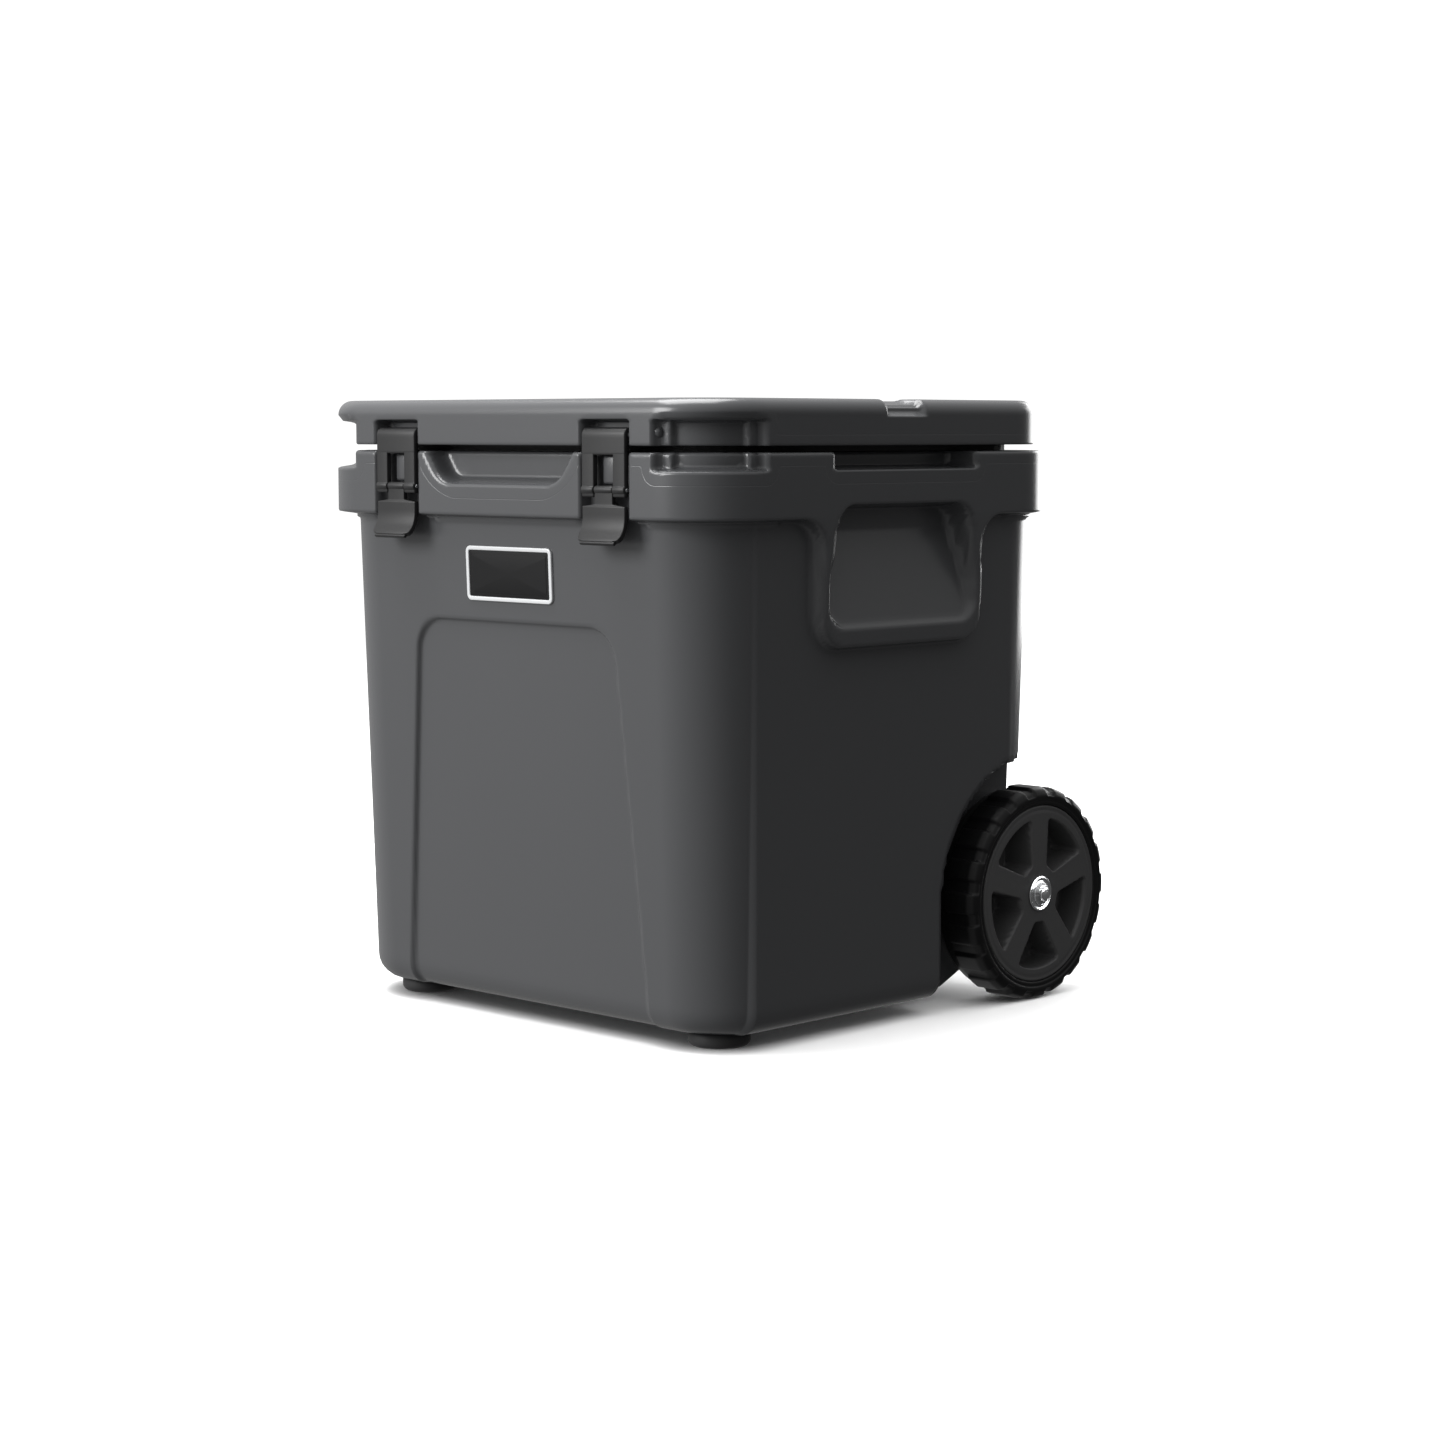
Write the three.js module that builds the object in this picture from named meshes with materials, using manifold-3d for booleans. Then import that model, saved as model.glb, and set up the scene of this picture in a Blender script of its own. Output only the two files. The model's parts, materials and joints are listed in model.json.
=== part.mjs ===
// Hard-sided wheeled cooler: a moulded insulated tub on a one-piece axle with two spoked wheels,
// a hinged lid held by two strap latches, and a two-stage telescopic pull handle in the back.
// Millimetres, +Z up, front towards -Y, origin on the ground under the centre of the overall box.
// Inside this file depth is measured back from the lid's front face; the last step centres it.
import * as THREE from "three";
import { mergeVertices } from "three/addons/utils/BufferGeometryUtils.js";
import Module from "manifold-3d";

const wasm = await Module();
wasm.setup();

// ---------------------------------------------------------------- driving dimensions
const gap = 0.3; // clearance between pieces that touch
const wall = 4; // moulded outer wall
const far = 800; // cutting tools end past everything

// Lid
const lidHalfWidth = 240;
const lidDepth = 431;
const lidHeight = 36.8;
const lidCorner = 62.5;
const lidEdgeFillet = 12;
const lidGap = 5; // daylight between rim and lid
const lidSkin = 5; // top skin above the foam
const lidCavityInset = 46;
const plugClearance = 3; // inner panel inside the tub mouth
const plugDrop = 11; // inner panel below the rim
const plugCorner = 30;
const panelFlange = 7;
const panelThickness = 3;
const flangeCorner = 32;
const gasketWidth = 8;

// Rim band round the top of the tub
const rimTop = 469.2;
const bandOverhang = 1; // band stands out past the lid at the sides
const bandBottom = rimTop - 53.2;
const bandBack = lidDepth + 8.8;
const bandFillet = 3;

// Tub outside
const bodyHalfWidth = lidHalfWidth - 13;
const bodyFront = 12.6; // front face at draftHeight
const bodyBack = lidDepth + 6.9; // back face at draftHeight
const draftHeight = bandBottom - 16;
const draft = 0.0395; // front and back close in by this much per mm downwards
const bodyCorner = 63;
const bodyBottom = 13;
const bottomFillet = 20;
const cavityTop = rimTop - 20.2; // underside of the solid rim

// Tub inside
const tubHalfWidth = bodyHalfWidth - 44;
const tubFront = 50;
const tubBack = lidDepth - 49;
const tubFloor = 54;
const tubCorner = 34;
const tubFillet = 18;
const tubDraft = 0.035;
const linerWall = 3.5;
const flangeWidth = 17;
const flangeThickness = 3;

// Side features share one centre line
const sideCentre = lidDepth / 2 + 11.1;
const notchHalfLength = 88;
const notchHeight = 14.4;
const notchDepth = 30;
const shieldHalfLength = 97;
const shieldBottom = rimTop - 154.5;
const shieldCorner = 26;
const shieldInset = 3; // shield face behind the band face
const shieldFlare = 24; // radius where the shield runs into the band
const pocketBottom = shieldBottom + 13.3;
const pocketTop = rimTop - 40.8;
const pocketHalfBottom = 91;
const pocketHalfTop = 75;
const pocketDepth = 27;
const pocketCorner = 15;
const strapGrooveHalfLength = 24.2;
const strapGrooveDepth = 5.5;
const strapGrooveBottom = rimTop + 28.7;

// Corner recesses at the two front corners
const cornerReach = 64.3;
const cornerEndDepth = 9;
const cornerDeepDepth = 15;
const cornerDeepStart = 13; // the deeper middle starts this far in from each end
const lidRecessTop = rimTop + 26;
const bodyRecessFloor = rimTop - 14.9;

// Latches
const latchX = lidHalfWidth - 115.7;
const latchRecessDepth = 15;
const strapHalf = 24.1;
const latchRecessHalf = strapHalf + 3.7;
const strapFace = -1; // front of the strap
const strapThickness = 5;
const strapPinY = 5;
const strapPinZ = rimTop + 13.3;
const strapPinR = 2.5;
const strapRollR = strapPinR + 3.8;
const windowHalf = strapHalf - 13.5;
const windowTop = rimTop + 1.8;
const crossPinY = 1.5;
const crossPinZ = rimTop - 29.2;
const legBottom = crossPinZ - 7;
const crossPinR = 1.6;
const leverBarrelR = 3.4;
const leverShoulder = crossPinZ - 11.7;
const leverBend = crossPinZ - 31;
const leverTip = crossPinZ - 39;
const leverReach = 9; // tab tip in front of the lid face
const keeperHalf = 7.9;
const keeperFace = 6;
const keeperBottom = crossPinZ + 4.2;
const keeperTop = rimTop - 2.2;

// Finger recess between the latches
const fingerHalfTop = 90;
const fingerHalfBottom = 70;
const fingerBottom = rimTop - 29.2;
const fingerDepth = 18;

// Front panel and badge
const panelTop = rimTop - 137.2;
const panelHalfTop = 120.3;
const panelHalfBottom = 147;
const panelCorner = 31;
const panelDepth = 4;
const badgeHalfWidth = 51.1;
const badgeTop = rimTop - 77;
const badgeBottom = badgeTop - 44.7;
const badgeCorner = 5;
const badgeThickness = 2.2;
const badgeBorder = 3.6;

// Feet
const footX = bodyHalfWidth - 52.2;
const footY = 76.6;
const footR = 25;

// Wheels and axle
const axleY = lidDepth - 26.4;
const axleZ = 91.5; // equals the tyre radius, so that the tyre meets the ground
const axleR = 6;
const bushWall = 3;
const bearingWall = 5;
const tyreR = axleZ;
const wheelInner = bodyHalfWidth - 34;
const wheelOuter = wheelInner + 49;
const axleEnd = wheelOuter + 4.5;
const rimR = tyreR - 16;
const rimWall = 6;
const hubR = 19;
const spokes = 5;
const treadBlocks = 20;
const treadDepth = 3.2;
const wellR = tyreR + 23.5;
const wellWall = wheelInner - 6; // inner wall of each wheel well
const wellFront = axleY - wellR - 2.6;
const slopeStart = axleY - 69.6;
const slope = 0.43;

// Telescopic handle in its channel
const channelBottom = 112;
const tubeX = 52;
const channelHalf = tubeX + 22;
const tubeY = lidDepth - 0.5;
const outerTubeR = 9.6;
const channelFloor = tubeY - outerTubeR - 1.9;
const lidNotchFloor = channelFloor - 3;
const tubeWall = 1.3;
const slideGap = 0.3; // radial clearance between nested tubes
const outerTubeBottom = channelBottom + 10;
const outerTubeTop = rimTop - 62.2;
const middleTubeBottom = outerTubeBottom + 6;
const middleTubeTop = outerTubeTop + 11;
const innerTubeBottom = middleTubeBottom + 6;
const yokeHeight = 7;
const bracketHeight = 16;
const bracketBack = 2.5; // bracket behind the tubes
const screwR = 2.5;
const screwHeadR = 4.5;
const gripTop = rimTop - 2.2;
const gripBottom = gripTop - 39;
const gripHalf = tubeX + 14;
const gripDepth = 2 * (outerTubeR + 1.9);
const gripBar = 16;
const gripSlotHalf = tubeX - 14;
const buttonHalf = 15;
const buttonDepth = 11;
const buttonRise = 2.4;
const buttonTravel = 3;
const rodR = 2;

// Lid hinges
const hingeY = lidDepth + 5;
const hingeZ = rimTop + 3.3;
const hingeX = channelHalf + 54;
const hingeHalf = 34;
const hingePinR = 2.4;
const knuckleR = hingePinR + 3.1;
const leafThickness = 3;
const lidLeafHeight = 24;
const bodyLeafHeight = 28;

// Drain on the left side
const drainZ = 70;
const drainR = 11;
const drainBore = drainR - 4;
const drainCapR = drainR + 4;

// ---------------------------------------------------------------- derived sizes
const lidBottom = rimTop + lidGap;
const lidTop = lidBottom + lidHeight;
const bandHalfWidth = lidHalfWidth + bandOverhang;
const bodyMiddle = (bodyFront + bodyBack) / 2;
const bodyHalfDepth = (bodyBack - bodyFront) / 2;
const draftAngle = Math.atan(draft);
const middleTubeR = outerTubeR - tubeWall - slideGap;
const innerTubeR = middleTubeR - tubeWall - slideGap;
const shieldFace = bandHalfWidth - shieldInset;
const depthCentre = (axleY + tyreR - leverReach) / 2;
const buttonFloor = gripTop - 12;
const buttonBase = buttonFloor + 3 + buttonTravel;
const yokeSlotHalf = tubeX + 5;
const upperBracketZ = outerTubeTop - bracketHeight + 4;
const bushR = axleR + bushWall;
const hubBore = axleR + bearingWall;
const drainX = -bodyHalfWidth;
const lidCavityTop = lidTop - lidSkin;
const lidCavityBack = lidNotchFloor - 4 * wall;
const plugBottom = rimTop - plugDrop;
const gasketInset = lidCavityInset - panelFlange - gap - gasketWidth;

// ---------------------------------------------------------------- solids
function solid(geometry) {
  const bare = geometry.index ? geometry.toNonIndexed() : geometry.clone();
  bare.deleteAttribute("normal");
  bare.deleteAttribute("uv");
  const merged = mergeVertices(bare, 1e-3);
  const mesh = new wasm.Mesh({
    numProp: 3,
    vertProperties: merged.attributes.position.array,
    triVerts: new Uint32Array(merged.index.array),
  });
  return new wasm.Manifold(mesh);
}

function joined(first, ...rest) {
  return rest.reduce((sum, piece) => sum.add(piece), first);
}

function cut(from, ...tools) {
  return tools.reduce((left, tool) => left.subtract(tool), from);
}

function box(x0, x1, y0, y1, z0, z1) {
  const geometry = new THREE.BoxGeometry(Math.abs(x1 - x0), y1 - y0, z1 - z0);
  return solid(geometry.translate((x0 + x1) / 2, (y0 + y1) / 2, (z0 + z1) / 2));
}

// Everything between two levels.
function slab(z0, z1) {
  return box(-far, far, -far, far, z0, z1);
}

// Axis maps: an extrusion's own x, y, z become the two outline directions and the sweep direction.
const toAlongX = new THREE.Matrix4().makeBasis(
  new THREE.Vector3(0, 1, 0),
  new THREE.Vector3(0, 0, 1),
  new THREE.Vector3(1, 0, 0),
);
const toAlongY = new THREE.Matrix4().makeBasis(
  new THREE.Vector3(1, 0, 0),
  new THREE.Vector3(0, 0, 1),
  new THREE.Vector3(0, -1, 0),
);

// Extrudes an outline between two levels; fillet rounds both end edges.
function sweep(shape, length, { fillet = 0, facets = 3, steps = 3 } = {}) {
  const geometry = new THREE.ExtrudeGeometry(shape, {
    depth: length - 2 * fillet,
    curveSegments: facets,
    bevelEnabled: fillet > 0,
    bevelThickness: fillet,
    bevelSize: fillet,
    bevelOffset: -fillet,
    bevelSegments: steps,
  });
  return geometry.translate(0, 0, fillet);
}

// Outline in X and depth, swept upwards from z0 to z1.
function upright(shape, z0, z1, options) {
  return sweep(shape, z1 - z0, options).translate(0, 0, z0);
}

// Outline in depth and Z, swept in X from x0 to x1.
function acrossX(shape, x0, x1, options) {
  const low = Math.min(x0, x1);
  const geometry = sweep(shape, Math.abs(x1 - x0), options).applyMatrix4(toAlongX);
  return solid(geometry.translate(low, 0, 0));
}

// Outline in X and Z, swept in depth from y0 to y1.
function acrossY(shape, y0, y1, options) {
  const geometry = sweep(shape, y1 - y0, options).applyMatrix4(toAlongY);
  return geometry.translate(0, y1, 0);
}

function roundRect(u0, u1, v0, v1, r) {
  const shape = new THREE.Shape();
  shape.absarc(u1 - r, v0 + r, r, -Math.PI / 2, 0);
  shape.absarc(u1 - r, v1 - r, r, 0, Math.PI / 2);
  shape.absarc(u0 + r, v1 - r, r, Math.PI / 2, Math.PI);
  shape.absarc(u0 + r, v0 + r, r, Math.PI, 1.5 * Math.PI);
  return shape;
}

function polygon(points) {
  return new THREE.Shape(points.map(([u, v]) => new THREE.Vector2(u, v)));
}

// Turned solid: profile of [radius, height] points closed on itself or on the axis.
function turned(profile, facets) {
  const closed = [...profile, profile[0]].map(([r, h]) => new THREE.Vector2(r, h));
  return new THREE.LatheGeometry(closed, facets);
}

function rod(r, length, facets = 20) {
  return new THREE.CylinderGeometry(r, r, length, facets);
}

function rodX(r, x0, x1, y, z, facets) {
  const geometry = rod(r, Math.abs(x1 - x0), facets).rotateZ(Math.PI / 2);
  return solid(geometry.translate((x0 + x1) / 2, y, z));
}

function rodZ(r, z0, z1, x, y, facets) {
  const geometry = rod(r, z1 - z0, facets).rotateX(Math.PI / 2);
  return solid(geometry.translate(x, y, (z0 + z1) / 2));
}

function tubeZ(outer, inner, z0, z1, x, y) {
  return rodZ(outer, z0, z1, x, y).subtract(rodZ(inner, z0 - 1, z1 + 1, x, y));
}

// Closes the front and back in towards the middle as height falls.
function drafted(geometry, middle, halfDepth, level, rate) {
  const at = geometry.attributes.position;
  for (let i = 0; i < at.count; i += 1) {
    const shrink = 1 - (rate * (level - at.getZ(i))) / halfDepth;
    at.setY(i, middle + (at.getY(i) - middle) * shrink);
  }
  return geometry;
}

// Front face depth of the tub at a height.
function faceAt(z) {
  return bodyFront + draft * (draftHeight - z);
}

// ---------------------------------------------------------------- nodes
const cooler = new THREE.Group();
cooler.position.y = -depthCentre;

function add(name, manifold, colour, roughness, metalness = 0) {
  const { vertProperties, triVerts, numProp } = manifold.getMesh();
  const points = new Float32Array((vertProperties.length / numProp) * 3);
  for (let i = 0; i < points.length / 3; i += 1) {
    points.set(vertProperties.subarray(i * numProp, i * numProp + 3), i * 3);
  }
  const geometry = new THREE.BufferGeometry();
  geometry.setAttribute("position", new THREE.BufferAttribute(points, 3));
  geometry.setIndex(new THREE.BufferAttribute(triVerts, 1));
  const material = new THREE.MeshStandardMaterial({ color: colour, roughness, metalness });
  const mesh = new THREE.Mesh(geometry, material);
  mesh.name = name;
  cooler.add(mesh);
  return mesh;
}

const plastic = (name, body) => add(name, body, 0x54575b, 0.38);
const blackPlastic = (name, body) => add(name, body, 0x1d1e20, 0.55);
const steel = (name, body) => add(name, body, 0xb8bcc0, 0.25, 1);
const aluminium = (name, body) => add(name, body, 0x9ea2a6, 0.35, 1);
const foam = (name, body) => add(name, body, 0xe8dfbf, 0.9);
const sides = [
  ["left", -1],
  ["right", 1],
];

// ---------------------------------------------------------------- tub
// Rounded box of the tub outside, drawn in by `inset` on every face.
function tubOutside(inset, top) {
  const outline = roundRect(
    -bodyHalfWidth + inset,
    bodyHalfWidth - inset,
    bodyFront + inset,
    bodyBack - inset,
    bodyCorner - inset,
  );
  const rounded = bottomFillet - inset / 2;
  const block = upright(outline, bodyBottom + inset, top + rounded, { fillet: rounded });
  const shaped = drafted(block, bodyMiddle, bodyHalfDepth, draftHeight, draft);
  return solid(shaped).subtract(slab(top, top + far));
}

function shieldOutline(grow) {
  const half = shieldHalfLength + grow;
  const low = shieldBottom - grow;
  const r = shieldCorner + grow;
  const flareCentre = half + shieldFlare;
  const flareZ = bandBottom - shieldFlare;
  const shape = new THREE.Shape();
  shape.absarc(sideCentre + half - r, low + r, r, -Math.PI / 2, 0);
  shape.absarc(sideCentre + flareCentre, flareZ, shieldFlare, Math.PI, Math.PI / 2, true);
  shape.lineTo(sideCentre + flareCentre, bandBottom + 10);
  shape.lineTo(sideCentre - flareCentre, bandBottom + 10);
  shape.absarc(sideCentre - flareCentre, flareZ, shieldFlare, Math.PI / 2, 0, true);
  shape.absarc(sideCentre - half + r, low + r, r, Math.PI, 1.5 * Math.PI);
  return shape;
}

// Hand pocket: a wedge, shallow at the bottom and deep under the band.
function pocket(side, grow) {
  const outline = new THREE.Shape();
  const r = pocketCorner + grow;
  const low = pocketBottom - grow;
  const wide = pocketHalfBottom + grow;
  outline.absarc(sideCentre + wide - r, low + r, r, -Math.PI / 2, 0);
  outline.lineTo(sideCentre + pocketHalfTop + grow, pocketTop + grow);
  outline.lineTo(sideCentre - pocketHalfTop - grow, pocketTop + grow);
  outline.absarc(sideCentre - wide + r, low + r, r, Math.PI, 1.5 * Math.PI);
  const deep = shieldFace - pocketDepth - grow;
  const mouth = shieldFace - 1 - grow;
  const slopeProfile = polygon([
    [side * mouth, pocketBottom - grow],
    [side * (shieldFace + 20), pocketBottom - grow],
    [side * (shieldFace + 20), pocketTop + grow],
    [side * deep, pocketTop + grow],
    [side * deep, pocketTop - 22],
  ]);
  const wedge = solid(acrossY(slopeProfile, sideCentre - 150, sideCentre + 150));
  const tunnel = acrossX(outline, side * (bodyHalfWidth - 47), side * (shieldFace + 20), { facets: 2 });
  return wedge.intersect(tunnel);
}

// Space for one wheel, open outwards, backwards and down.
function wheelWell(side, grow) {
  const inner = side * (wellWall - grow);
  const outer = side * far;
  const arch = rodX(wellR + grow, inner, outer, axleY, axleZ, 48);
  const front = box(inner, outer, wellFront - grow, far, -10, axleZ);
  const back = box(inner, outer, axleY, far, -10, axleZ + wellR + grow);
  return joined(arch, front, back);
}

// Underside behind the feet rises towards the back.
function undersideSlope(grow) {
  const start = slopeStart - 12 - grow * 0.2;
  const low = bodyBottom - 0.2 + grow * 1.08;
  const rise = (y) => low + slope * (y - start);
  return acrossX(
    polygon([
      [start, -20],
      [far, -20],
      [far, rise(far)],
      [start, rise(start)],
    ]),
    -far,
    far,
  );
}

// Straight channel in the back for the handle.
function handleChannel(grow) {
  return box(
    -channelHalf - grow,
    channelHalf + grow,
    channelFloor - grow,
    far,
    channelBottom - grow,
    rimTop + 60,
  );
}

// Sunken panel on the front face, parallel to the face and open at the bottom.
function frontPanel(grow) {
  const half = panelHalfTop + grow;
  const top = panelTop + grow;
  const low = bodyBottom - 10;
  const spread = (panelHalfBottom + grow - half) / (top - panelCorner - low);
  const wide = half + spread * (top - panelCorner - low);
  const shape = new THREE.Shape();
  shape.moveTo(-wide, low);
  shape.lineTo(wide, low);
  shape.absarc(half - panelCorner, top - panelCorner, panelCorner, 0, Math.PI / 2);
  shape.absarc(-half + panelCorner, top - panelCorner, panelCorner, Math.PI / 2, Math.PI);
  const slab = acrossY(shape, -60, panelDepth + grow, { facets: 2 });
  slab.translate(0, 0, -draftHeight).rotateX(draftAngle).translate(0, bodyFront, draftHeight);
  return solid(slab);
}

// Trapezoid finger recess in the band between the latches.
function fingerRecess(grow) {
  const shape = polygon([
    [-fingerHalfBottom - grow, fingerBottom - grow],
    [fingerHalfBottom + grow, fingerBottom - grow],
    [fingerHalfTop + grow, rimTop + 20],
    [-fingerHalfTop - grow, rimTop + 20],
  ]);
  return solid(acrossY(shape, -20, fingerDepth + grow));
}

// Recess round a front corner: shallow ends and a deeper middle, both following the corner.
function cornerRecess(side, half, radius, z0, z1) {
  const centreX = side * (half - radius);
  const piece = (start, depth) => {
    const reach = cornerReach - start;
    const block = box(side * (half - reach), side * (half + 30), -30, reach, z0, z1);
    return block.subtract(rodZ(radius - depth, z0 - 5, z1 + 5, centreX, radius, 36));
  };
  return piece(0, cornerEndDepth).add(piece(cornerDeepStart, cornerDeepDepth));
}

function tubInside(grow, level) {
  const outline = roundRect(
    -tubHalfWidth - grow,
    tubHalfWidth + grow,
    tubFront - grow,
    tubBack + grow,
    tubCorner + grow,
  );
  const block = upright(outline, tubFloor - grow, level + tubFillet, { fillet: tubFillet + grow / 2 });
  const middle = (tubFront + tubBack) / 2;
  const shaped = drafted(block, middle, (tubBack - tubFront) / 2, rimTop, tubDraft);
  const at = shaped.attributes.position;
  for (let i = 0; i < at.count; i += 1) {
    at.setX(i, at.getX(i) * (1 - (tubDraft * (rimTop - at.getZ(i))) / tubHalfWidth));
  }
  return solid(shaped).subtract(slab(level, level + far));
}

// Tub cavity between shell and liner, drawn in by `inset` from the shell's inside.
function foamSpace(inset) {
  const grow = wall + inset;
  const block = tubOutside(grow, cavityTop - inset);
  const pieces = sides.flatMap(([, side]) => [pocket(side, grow), wheelWell(side, grow)]);
  return cut(
    block,
    ...pieces,
    undersideSlope(grow),
    handleChannel(grow),
    frontPanel(grow),
    fingerRecess(grow),
  );
}

const axleTunnel = (r) => rodX(r, -far, far, axleY, axleZ, 24);
const drainTunnel = (r) => rodX(r, drainX - 30, -tubHalfWidth + 40, sideCentre, drainZ, 24);

function bodyShell() {
  const bandOutline = roundRect(-bandHalfWidth, bandHalfWidth, 0, bandBack, lidCorner);
  const band = solid(upright(bandOutline, bandBottom, rimTop, { fillet: bandFillet, steps: 2 }));
  const shieldRoot = bodyHalfWidth - 27; // well inside the tub wall
  const shields = sides.map(([, side]) =>
    acrossX(shieldOutline(0), side * shieldRoot, side * shieldFace, { fillet: bandFillet, steps: 2 }),
  );
  let shell = joined(tubOutside(0, rimTop - 20), band, ...shields);
  shell = shell.subtract(foamSpace(0));
  for (const [, side] of sides) {
    const x = side * latchX;
    const notchIn = side * (bandHalfWidth - notchDepth);
    shell = cut(
      shell,
      pocket(side, 0),
      wheelWell(side, 0),
      cornerRecess(side, bandHalfWidth, lidCorner, bodyRecessFloor, rimTop + 20),
      box(
        notchIn,
        side * far,
        sideCentre - notchHalfLength,
        sideCentre + notchHalfLength,
        rimTop - notchHeight,
        far,
      ),
      box(
        x - latchRecessHalf,
        x + latchRecessHalf,
        -30,
        faceAt(bandBottom),
        bandBottom - 5,
        rimTop + 20,
      ),
      box(
        side * (hingeX - hingeHalf - 1),
        side * (hingeX + hingeHalf + 1),
        bandBack - leafThickness - gap,
        far,
        rimTop - bodyLeafHeight - gap,
        far,
      ),
      box(
        side * (hingeX - hingeHalf - 1),
        side * (hingeX + hingeHalf + 1),
        hingeY - knuckleR - 1,
        far,
        hingeZ - knuckleR - 0.8,
        far,
      ),
    );
    const keeper = box(
      x - keeperHalf,
      x + keeperHalf,
      keeperFace,
      faceAt(bandBottom) + 3,
      keeperBottom,
      keeperTop,
    );
    shell = shell.add(keeper);
  }
  const flangeSeat = roundRect(
    -tubHalfWidth - flangeWidth - gap,
    tubHalfWidth + flangeWidth + gap,
    tubFront - flangeWidth - gap,
    tubBack + flangeWidth + gap,
    tubCorner + flangeWidth,
  );
  return cut(
    shell,
    undersideSlope(0),
    handleChannel(0),
    frontPanel(0),
    fingerRecess(0),
    tubInside(linerWall + gap, rimTop + 5),
    solid(upright(flangeSeat, rimTop - flangeThickness - gap, rimTop + 10)),
    axleTunnel(bushR + gap),
    rodX(drainR + gap, drainX - 30, drainX + 20, sideCentre, drainZ, 24),
  );
}

plastic("body_shell", bodyShell());

foam(
  "insulation_foam",
  cut(
    foamSpace(gap),
    tubInside(linerWall + gap, rimTop + 5),
    axleTunnel(bushR + gap),
    drainTunnel(drainR + gap),
  ),
);

function innerLiner() {
  const flange = roundRect(
    -tubHalfWidth - flangeWidth,
    tubHalfWidth + flangeWidth,
    tubFront - flangeWidth,
    tubBack + flangeWidth,
    tubCorner + flangeWidth,
  );
  const plate = solid(upright(flange, rimTop - flangeThickness, rimTop));
  const skin = tubInside(linerWall, rimTop - 1).add(plate);
  return cut(skin, tubInside(0, rimTop + 5), drainTunnel(drainR + gap));
}
add("inner_liner", innerLiner(), 0xd9dbd8, 0.45);

// ---------------------------------------------------------------- feet, badge and drain
for (const [name, side] of sides) {
  plastic(`front_foot_${name}`, rodZ(footR, 0, bodyBottom - gap, side * footX, footY, 32));
}

// Places a solid drawn against a plane at depth 0 onto the sloping front face.
function ontoFace(geometry) {
  geometry.translate(0, 0, -draftHeight).rotateX(draftAngle);
  return solid(geometry.translate(0, bodyFront, draftHeight));
}

function badgeOutline(inset) {
  return roundRect(
    -badgeHalfWidth + inset,
    badgeHalfWidth - inset,
    badgeBottom + inset,
    badgeTop - inset,
    badgeCorner - inset / 2,
  );
}
const badgeBack = -gap;
const badgePlate = ontoFace(
  acrossY(badgeOutline(0), badgeBack - badgeThickness, badgeBack, { fillet: 0.5, steps: 1 }),
);
const badgePocket = ontoFace(acrossY(badgeOutline(badgeBorder), -20, badgeBack - badgeThickness / 2));
add("badge_frame", badgePlate.subtract(badgePocket), 0xd8dadb, 0.35, 0.6);
add(
  "badge_insert",
  ontoFace(
    acrossY(
      badgeOutline(badgeBorder + gap),
      badgeBack - badgeThickness + 0.3,
      badgeBack - badgeThickness / 2 - gap,
    ),
  ),
  0x111214,
  0.4,
);

function drainBushing() {
  const inner = -tubHalfWidth + 16;
  const sleeve = rodX(drainR, drainX - 1, inner, sideCentre, drainZ, 24);
  return sleeve.subtract(rodX(drainBore, drainX - 10, inner + 10, sideCentre, drainZ, 24));
}
blackPlastic("drain_bushing", drainBushing());
const capBack = drainX - 1 - gap;
const gasketBack = capBack - 1.8;
add(
  "drain_gasket",
  rodX(drainCapR - 2, gasketBack + gap, capBack, sideCentre, drainZ, 24).subtract(
    rodX(drainBore + 0.6, gasketBack - 5, capBack + 5, sideCentre, drainZ, 24),
  ),
  0x18191a,
  0.8,
);
const capFace = gasketBack - 5;
const capGripHalf = drainCapR - 4;
const capGrip = box(
  capFace - 3,
  capFace + 1,
  sideCentre - capGripHalf,
  sideCentre + capGripHalf,
  drainZ - 2.5,
  drainZ + 2.5,
);
blackPlastic(
  "drain_plug",
  joined(
    rodX(drainCapR, capFace, gasketBack, sideCentre, drainZ, 32),
    rodX(drainBore - gap, gasketBack - 1, drainX + 22, sideCentre, drainZ, 24),
    capGrip,
  ),
);

// ---------------------------------------------------------------- axle and wheels
steel("axle", rodX(axleR, -axleEnd, axleEnd, axleY, axleZ, 24));

function tyre(side) {
  const w0 = wheelInner;
  const w1 = wheelOuter;
  const r0 = rimR + gap;
  const profile = [
    [r0, w0 + 4],
    [r0 + 5, w0],
    [tyreR - 12, w0],
    [tyreR - 4, w0 + 3.5],
    [tyreR, w0 + 12],
    [tyreR, w1 - 12],
    [tyreR - 2.4, w1 - 5],
    [tyreR - 8, w1 - 0.8],
    [r0 + 3, w1],
    [r0, w1 - 2],
  ];
  let body = placed(turned(profile, 40), side);
  const pitch = (2 * Math.PI) / treadBlocks;
  for (let i = 0; i < treadBlocks; i += 1) {
    const groove = new THREE.BoxGeometry(60, treadDepth + 10, tyreR * pitch * 0.3);
    groove.translate(side * (w0 + 17 + 30), 0, 0);
    groove.translate(0, tyreR - treadDepth + (treadDepth + 10) / 2, 0).rotateX(i * pitch);
    const skewed = solid(groove.translate(0, axleY, axleZ));
    body = body.subtract(skewed);
  }
  return body;
}

// Turned profiles are written as radius and distance from the middle of the cooler along X.
function placed(geometry, side) {
  geometry.rotateZ(-Math.PI / 2);
  if (side < 0) geometry.rotateZ(Math.PI);
  return solid(geometry.translate(0, axleY, axleZ));
}

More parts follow.
